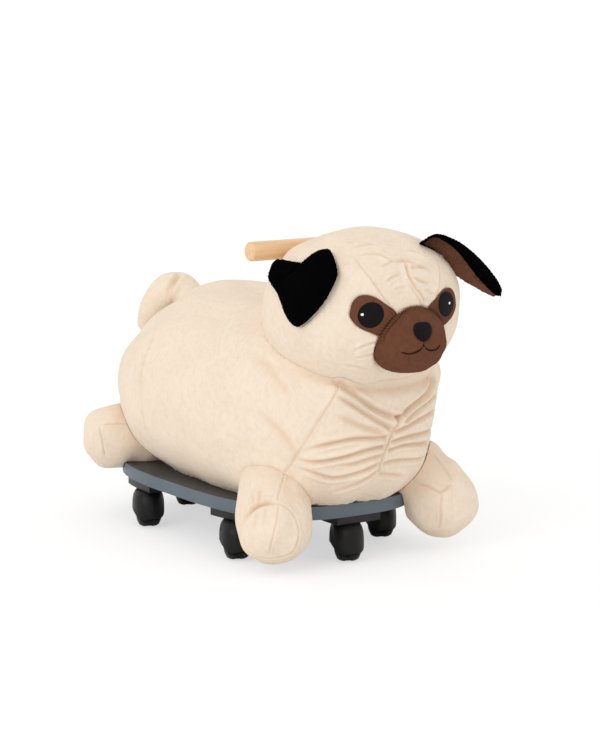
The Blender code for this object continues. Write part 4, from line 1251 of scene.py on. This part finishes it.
caster = {  # in mm, across the wheels, along the caster and up from the floor
    "pivots": {
        "front": (0, -131.6), "front_left": (105, -51.6), "front_right": (-105, -51.6),
        "rear_left": (105, 158.4), "rear_right": (-105, 158.4), "rear": (0, 238.4),
    },
    "heading": -206.6,  # degrees, the way all six point
    "steps": 72,
    "wheelPlace": (2.9, 27.6, 18.5),  # the middle of a wheel's inner face
    "wheelRadius": 18.5,
    "wheelWidth": 13.5,
    "bore": (2.1, 10.0),  # radius and depth of the blind hole for the axle
    "boreEdge": 0.3,
    # from the inner face over the tread to the middle of the outer face, in shares of the wheel's radius and width
    "wheelProfile": (
        (0.98, 0), (0.997, 0.02), (1, 0.10), (0.998, 0.20), (0.98, 0.36), (0.94, 0.52), (0.87, 0.68), (0.80, 0.745),
        (0.775, 0.72), (0.75, 0.77), (0.62, 0.86), (0.50, 0.92), (0.46, 0.90), (0.43, 0.86), (0.40, 0.92),
        (0.26, 0.985), (0.10, 1), (0, 1),
    ),
    "hoodCentre": (0, 17.4, 19.8),
    "hoodSizes": (20.1, 32.4, 28.45, 19.8),  # half width, half length, rise and drop
    "hoodPlan": 2.3,
    "hoodProfile": 3.4,
    "hoodTop": 45.2,
    # the skirt's height from the floor at angles round it from one side: it comes down at front and back,
    # and is cut up at the sides to show the wheels
    "rim": (
        (0, 21), (30, 17), (50, 11.5), (70, 8.6), (86, 10.5), (100, 12), (125, 10.5), (150, 13), (180, 19), (215, 14),
        (270, 11), (320, 14),
    ),
    "groove": (1.3, 1.1),  # a groove along the rim, coloured black as painted shadow: height and depth
    "wall": 2.0,
    "rows": (18, 3, 24),  # rings inside, in the groove and outside
    "endRing": (0.5, 0.5, 1),  # share of the last ring's size at which the roof has one more
    # the disc between the wheels, a little smaller than they are: half its thickness, its radius, how much its edge
    # is rounded inwards and sideways, the share of its radius with one more ring, and its steps round
    "web": (2.65, 18.1, 0.3, 0.4, 0.6, 48),
}


def hoodRings(inset, lowest, highest, rows):
    # The hood's plan is a superellipse, drawn in as it rises or falls from the widest level
    halfWidth, halfLength, rise, drop = (size - inset for size in caster["hoodSizes"])
    angles = np.linspace(0, 2 * math.pi, caster["steps"], endpoint=False)
    c, s = np.cos(angles), np.sin(angles)
    ring = np.stack((halfWidth * c, halfLength * s), 1) / superNorm(c, s, caster["hoodPlan"])[:, None]
    up = lowest + (highest - lowest) * np.linspace(0, 1, rows)[:, None]
    share = np.where(up > 0, up / rise, -up / drop)
    drawn = np.clip(1 - share ** caster["hoodProfile"], 1e-4, 1) ** (1 / caster["hoodProfile"])
    return np.concatenate((ring[None] * drawn[..., None], up[..., None]), 2)


def hoodSkin():
    # The skin runs from the middle of the roof's underside down the wall, round the rim and up the outside.
    # The range of faces that make up the groove comes back as well, to take the painted shadow.
    steps = caster["steps"]
    centre = np.array(caster["hoodCentre"], float)
    rimAt, rimHeight = np.array(caster["rim"], float).T
    rim = np.interp(np.linspace(0, 360, steps, endpoint=False), rimAt, rimHeight, period=360)
    for _ in range(3):
        rim = (np.roll(rim, 1) + rim + np.roll(rim, -1)) / 3
    rim = rim[None, :] - centre[2]
    top, wall = caster["hoodTop"] - centre[2], caster["wall"]
    high, deep = caster["groove"]
    innerRows, grooveRows, outerRows = caster["rows"]
    inner = hoodRings(wall, rim, top - wall, innerRows)
    groove = hoodRings(deep, rim, rim + high, grooveRows)
    outer = hoodRings(0, rim + high, top, outerRows)
    ends = inner[-1:] * caster["endRing"], outer[-1:] * caster["endRing"]
    rings = np.concatenate((ends[0], inner[::-1], groove, outer, ends[1]))
    hood = np.vstack(((0, 0, top - wall), rings.reshape(-1, 3), (0, 0, top))) + centre
    return hood, ringFaces(len(rings), steps), range((1 + innerRows) * steps, (2 + innerRows + grooveRows) * steps)


def makeCasters():
    hood, hoodFaces, grooveFaces = hoodSkin()
    wheelPlace = np.array(caster["wheelPlace"])
    half, disc, roundIn, roundSide, ring, steps = caster["web"]
    rim = [(0, half), (disc * ring, half), (disc - roundIn, half), (disc, half - roundSide)]
    web, webFaces = turnedSkin([(r, -x) for r, x in rim] + rim[::-1], steps)
    web = web + wheelPlace * (0, 1, 1)
    webFaces = [tuple(k + len(hood) for k in one) for one in webFaces]
    boreRadius, boreDepth = caster["bore"]
    boreEdge = caster["boreEdge"]
    bore = [(0, boreDepth), (boreRadius, boreDepth), (boreRadius, boreEdge), (boreRadius + boreEdge, 0)]
    outside = np.array(caster["wheelProfile"]) * (caster["wheelRadius"], caster["wheelWidth"])
    wheel, wheelFaces = turnedSkin(np.vstack((bore, outside)))
    wheel = wheel + wheelPlace
    turn = math.radians(caster["heading"])
    turned = np.array(((math.cos(turn), -math.sin(turn), 0), (math.sin(turn), math.cos(turn), 0), (0, 0, 1)))
    for name, pivot in caster["pivots"].items():
        place = np.array((*pivot, 0))
        points = np.vstack((hood, web)) @ turned.T + place
        shell = newMesh(f"{name}_hood_shell", points * mm, hoodFaces + webFaces, hoodNylon)
        # the groove's faces take the painted shadow
        shell.data.materials.append(grooveShadow)
        for k in grooveFaces:
            shell.data.polygons[k].material_index = 1
        keep(shell, "black_plastic", f"{name}_hood", body=f"{name}_swivel")
        for label, side in sides:
            local = wheel * (side, 1, 1)
            rows = wheelFaces if side > 0 else [tuple(reversed(one)) for one in wheelFaces]
            piece = newMesh(f"{name}_wheel_disc_{label}", (local @ turned.T + place) * mm, rows, wheelNylon)
            keep(piece, "wheel_plastic", f"{name}_wheel_{label}", body=f"{name}_{label}_roller")


makeCasters()
print("casters ready")


# CAD pieces that keep their own shape: a clean copy with softened edges, or the piece itself

fittings = {
    "weld": 1e-6,  # m, within which split corners are joined
    "flat": 1.5,  # degrees, under which neighbouring faces become one
    "sharp": 32,  # degrees, over which an edge stays sharp
    "softened": 40,  # degrees, over which an edge is bevelled
    "blockBevel": 0.7 * mm,
    "shadedFacing": 0.9,  # faces that look up or down more than this take the darker grey, painted shade
    "steel": ("_stem", "_axle", "screw", "screw_front", "screw_rear"),
}


def dressCad(name, slotName, finish, bevel=0.0):
    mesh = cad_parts[name].data.copy()
    shape = bmesh.new()
    shape.from_mesh(mesh)
    bmesh.ops.remove_doubles(shape, verts=shape.verts, dist=fittings["weld"])
    flat = math.radians(fittings["flat"])
    bmesh.ops.dissolve_limit(shape, angle_limit=flat, verts=shape.verts, edges=shape.edges)
    shape.to_mesh(mesh)
    shape.free()
    mesh.materials.clear()
    mesh.materials.append(finish)
    mesh.shade_smooth()
    mesh.set_sharp_from_angle(angle=math.radians(fittings["sharp"]))
    piece = inScene(f"{name}_dressed", mesh)
    if bevel:
        soften = piece.modifiers.new("soft edges", "BEVEL")
        soften.width = bevel
        soften.segments = 2
        soften.limit_method = "ANGLE"
        soften.angle_limit = math.radians(fittings["softened"])
        soften.harden_normals = False
    return keep(piece, slotName, name)


board = dressCad("base_board", "board_paint", slatePaint)
# the top and underside take the darker, warmer grey as painted shade under the plush body and painted reflection of
# it
board.data.materials.append(shadedTopPaint)
normals = np.zeros(len(board.data.polygons) * 3, np.float32)
board.data.polygons.foreach_get("normal", normals)
shadedFaces = np.abs(normals[2::3]) > fittings["shadedFacing"]
board.data.polygons.foreach_set("material_index", shadedFaces.astype(np.int32))
for name in caster["pivots"]:
    dressCad(f"{name}_block", "black_plastic", blackNylon, fittings["blockBevel"])
for name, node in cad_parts.items():
    if name == "upright_panel" or name.endswith(fittings["steel"]):
        for slot in node.material_slots:
            slot.material = birchPlywood if name == "upright_panel" else zincPlating
print("board and fittings ready")


# Floor, light and camera

studio = {
    "floorHalfSize": 300.0,
    "floorColour": (0.98, 0.98, 0.98, 1.0),
    "white": (1.0, 1.0, 1.0, 1.0),
    "floorGlow": 0.55,  # how much of the floor's white is its own, as the camera sees it
    "glowStrength": 1.075,
    "worldStrength": 0.88,
    "lamps": (("key", (-1.0, -0.36, 0.62), 0.71, 40), ("fill", (0.3, -0.8, 0.5), 0.12, 60)),  # way, strength, degrees
}


def makeStudio():
    size = studio["floorHalfSize"]
    corners = np.array([(-size, -size, 0), (size, -size, 0), (size, size, 0), (-size, size, 0)], float)
    made, tree, shader, _ = newMaterial(
        "pale studio floor", Roughness=0.9, Specular_IOR_Level=0.0, Base_Color=studio["floorColour"]
    )
    glow = addNode(tree, "Emission", Color=studio["white"], Strength=studio["glowStrength"])
    seen = addNode(tree, "LightPath", output="Is Camera Ray")
    share = addNode(tree, "Math", {0: seen, 1: studio["floorGlow"]}, operation="MULTIPLY")
    mixed = addNode(tree, "MixShader", {0: share, 1: shader.outputs[0], 2: glow})
    tree.links.new(mixed, tree.nodes["Material Output"].inputs["Surface"])
    newMesh("studio_floor", corners, np.array([[0, 1, 2, 3]]), made, smooth=False)
    # the world lights the toy softly and is white where it is seen
    world = bpy.data.worlds.new("studio")
    world.use_nodes = True
    tree = world.node_tree
    light = tree.nodes["Background"]
    light.inputs["Color"].default_value = studio["white"]
    light.inputs["Strength"].default_value = studio["worldStrength"]
    white = addNode(tree, "Background", Color=studio["white"], Strength=1.0)
    rays = [addNode(tree, "LightPath", output=f"Is {kind} Ray") for kind in ("Camera", "Transmission")]
    seen = addNode(tree, "Math", dict(enumerate(rays)), operation="MAXIMUM")
    mixed = addNode(tree, "MixShader", {0: seen, 1: light.outputs[0], 2: white})
    tree.links.new(mixed, tree.nodes["World Output"].inputs["Surface"])
    bpy.context.scene.world = world
    for name, way, strength, spreadAngle in studio["lamps"]:
        sun = bpy.data.lights.new(name, "SUN")
        sun.energy = strength
        sun.angle = math.radians(spreadAngle)
        inScene(name, sun).rotation_euler = Vector(way).to_track_quat("Z", "Y").to_euler()


studioCamera = {
    "place": (-1.6104, -2.4662, 0.6890),
    "ahead": (0.5448, 0.8225, -0.1635),
    "lens": 116.35,
    "sensor": 36,
    "clipEnd": 1000,
}


def makeCamera():
    data = bpy.data.cameras.new("photo_camera")
    data.lens = studioCamera["lens"]
    data.sensor_width = studioCamera["sensor"]
    data.sensor_fit = "AUTO"
    data.clip_end = studioCamera["clipEnd"]
    camera = inScene("photo_camera", data)
    camera.location = studioCamera["place"]
    camera.rotation_euler = Vector(studioCamera["ahead"]).to_track_quat("-Z", "Y").to_euler()
    bpy.context.scene.camera = camera


makeStudio()
makeCamera()
bpy.context.scene.view_settings.view_transform = "Standard"

print("scene ready")
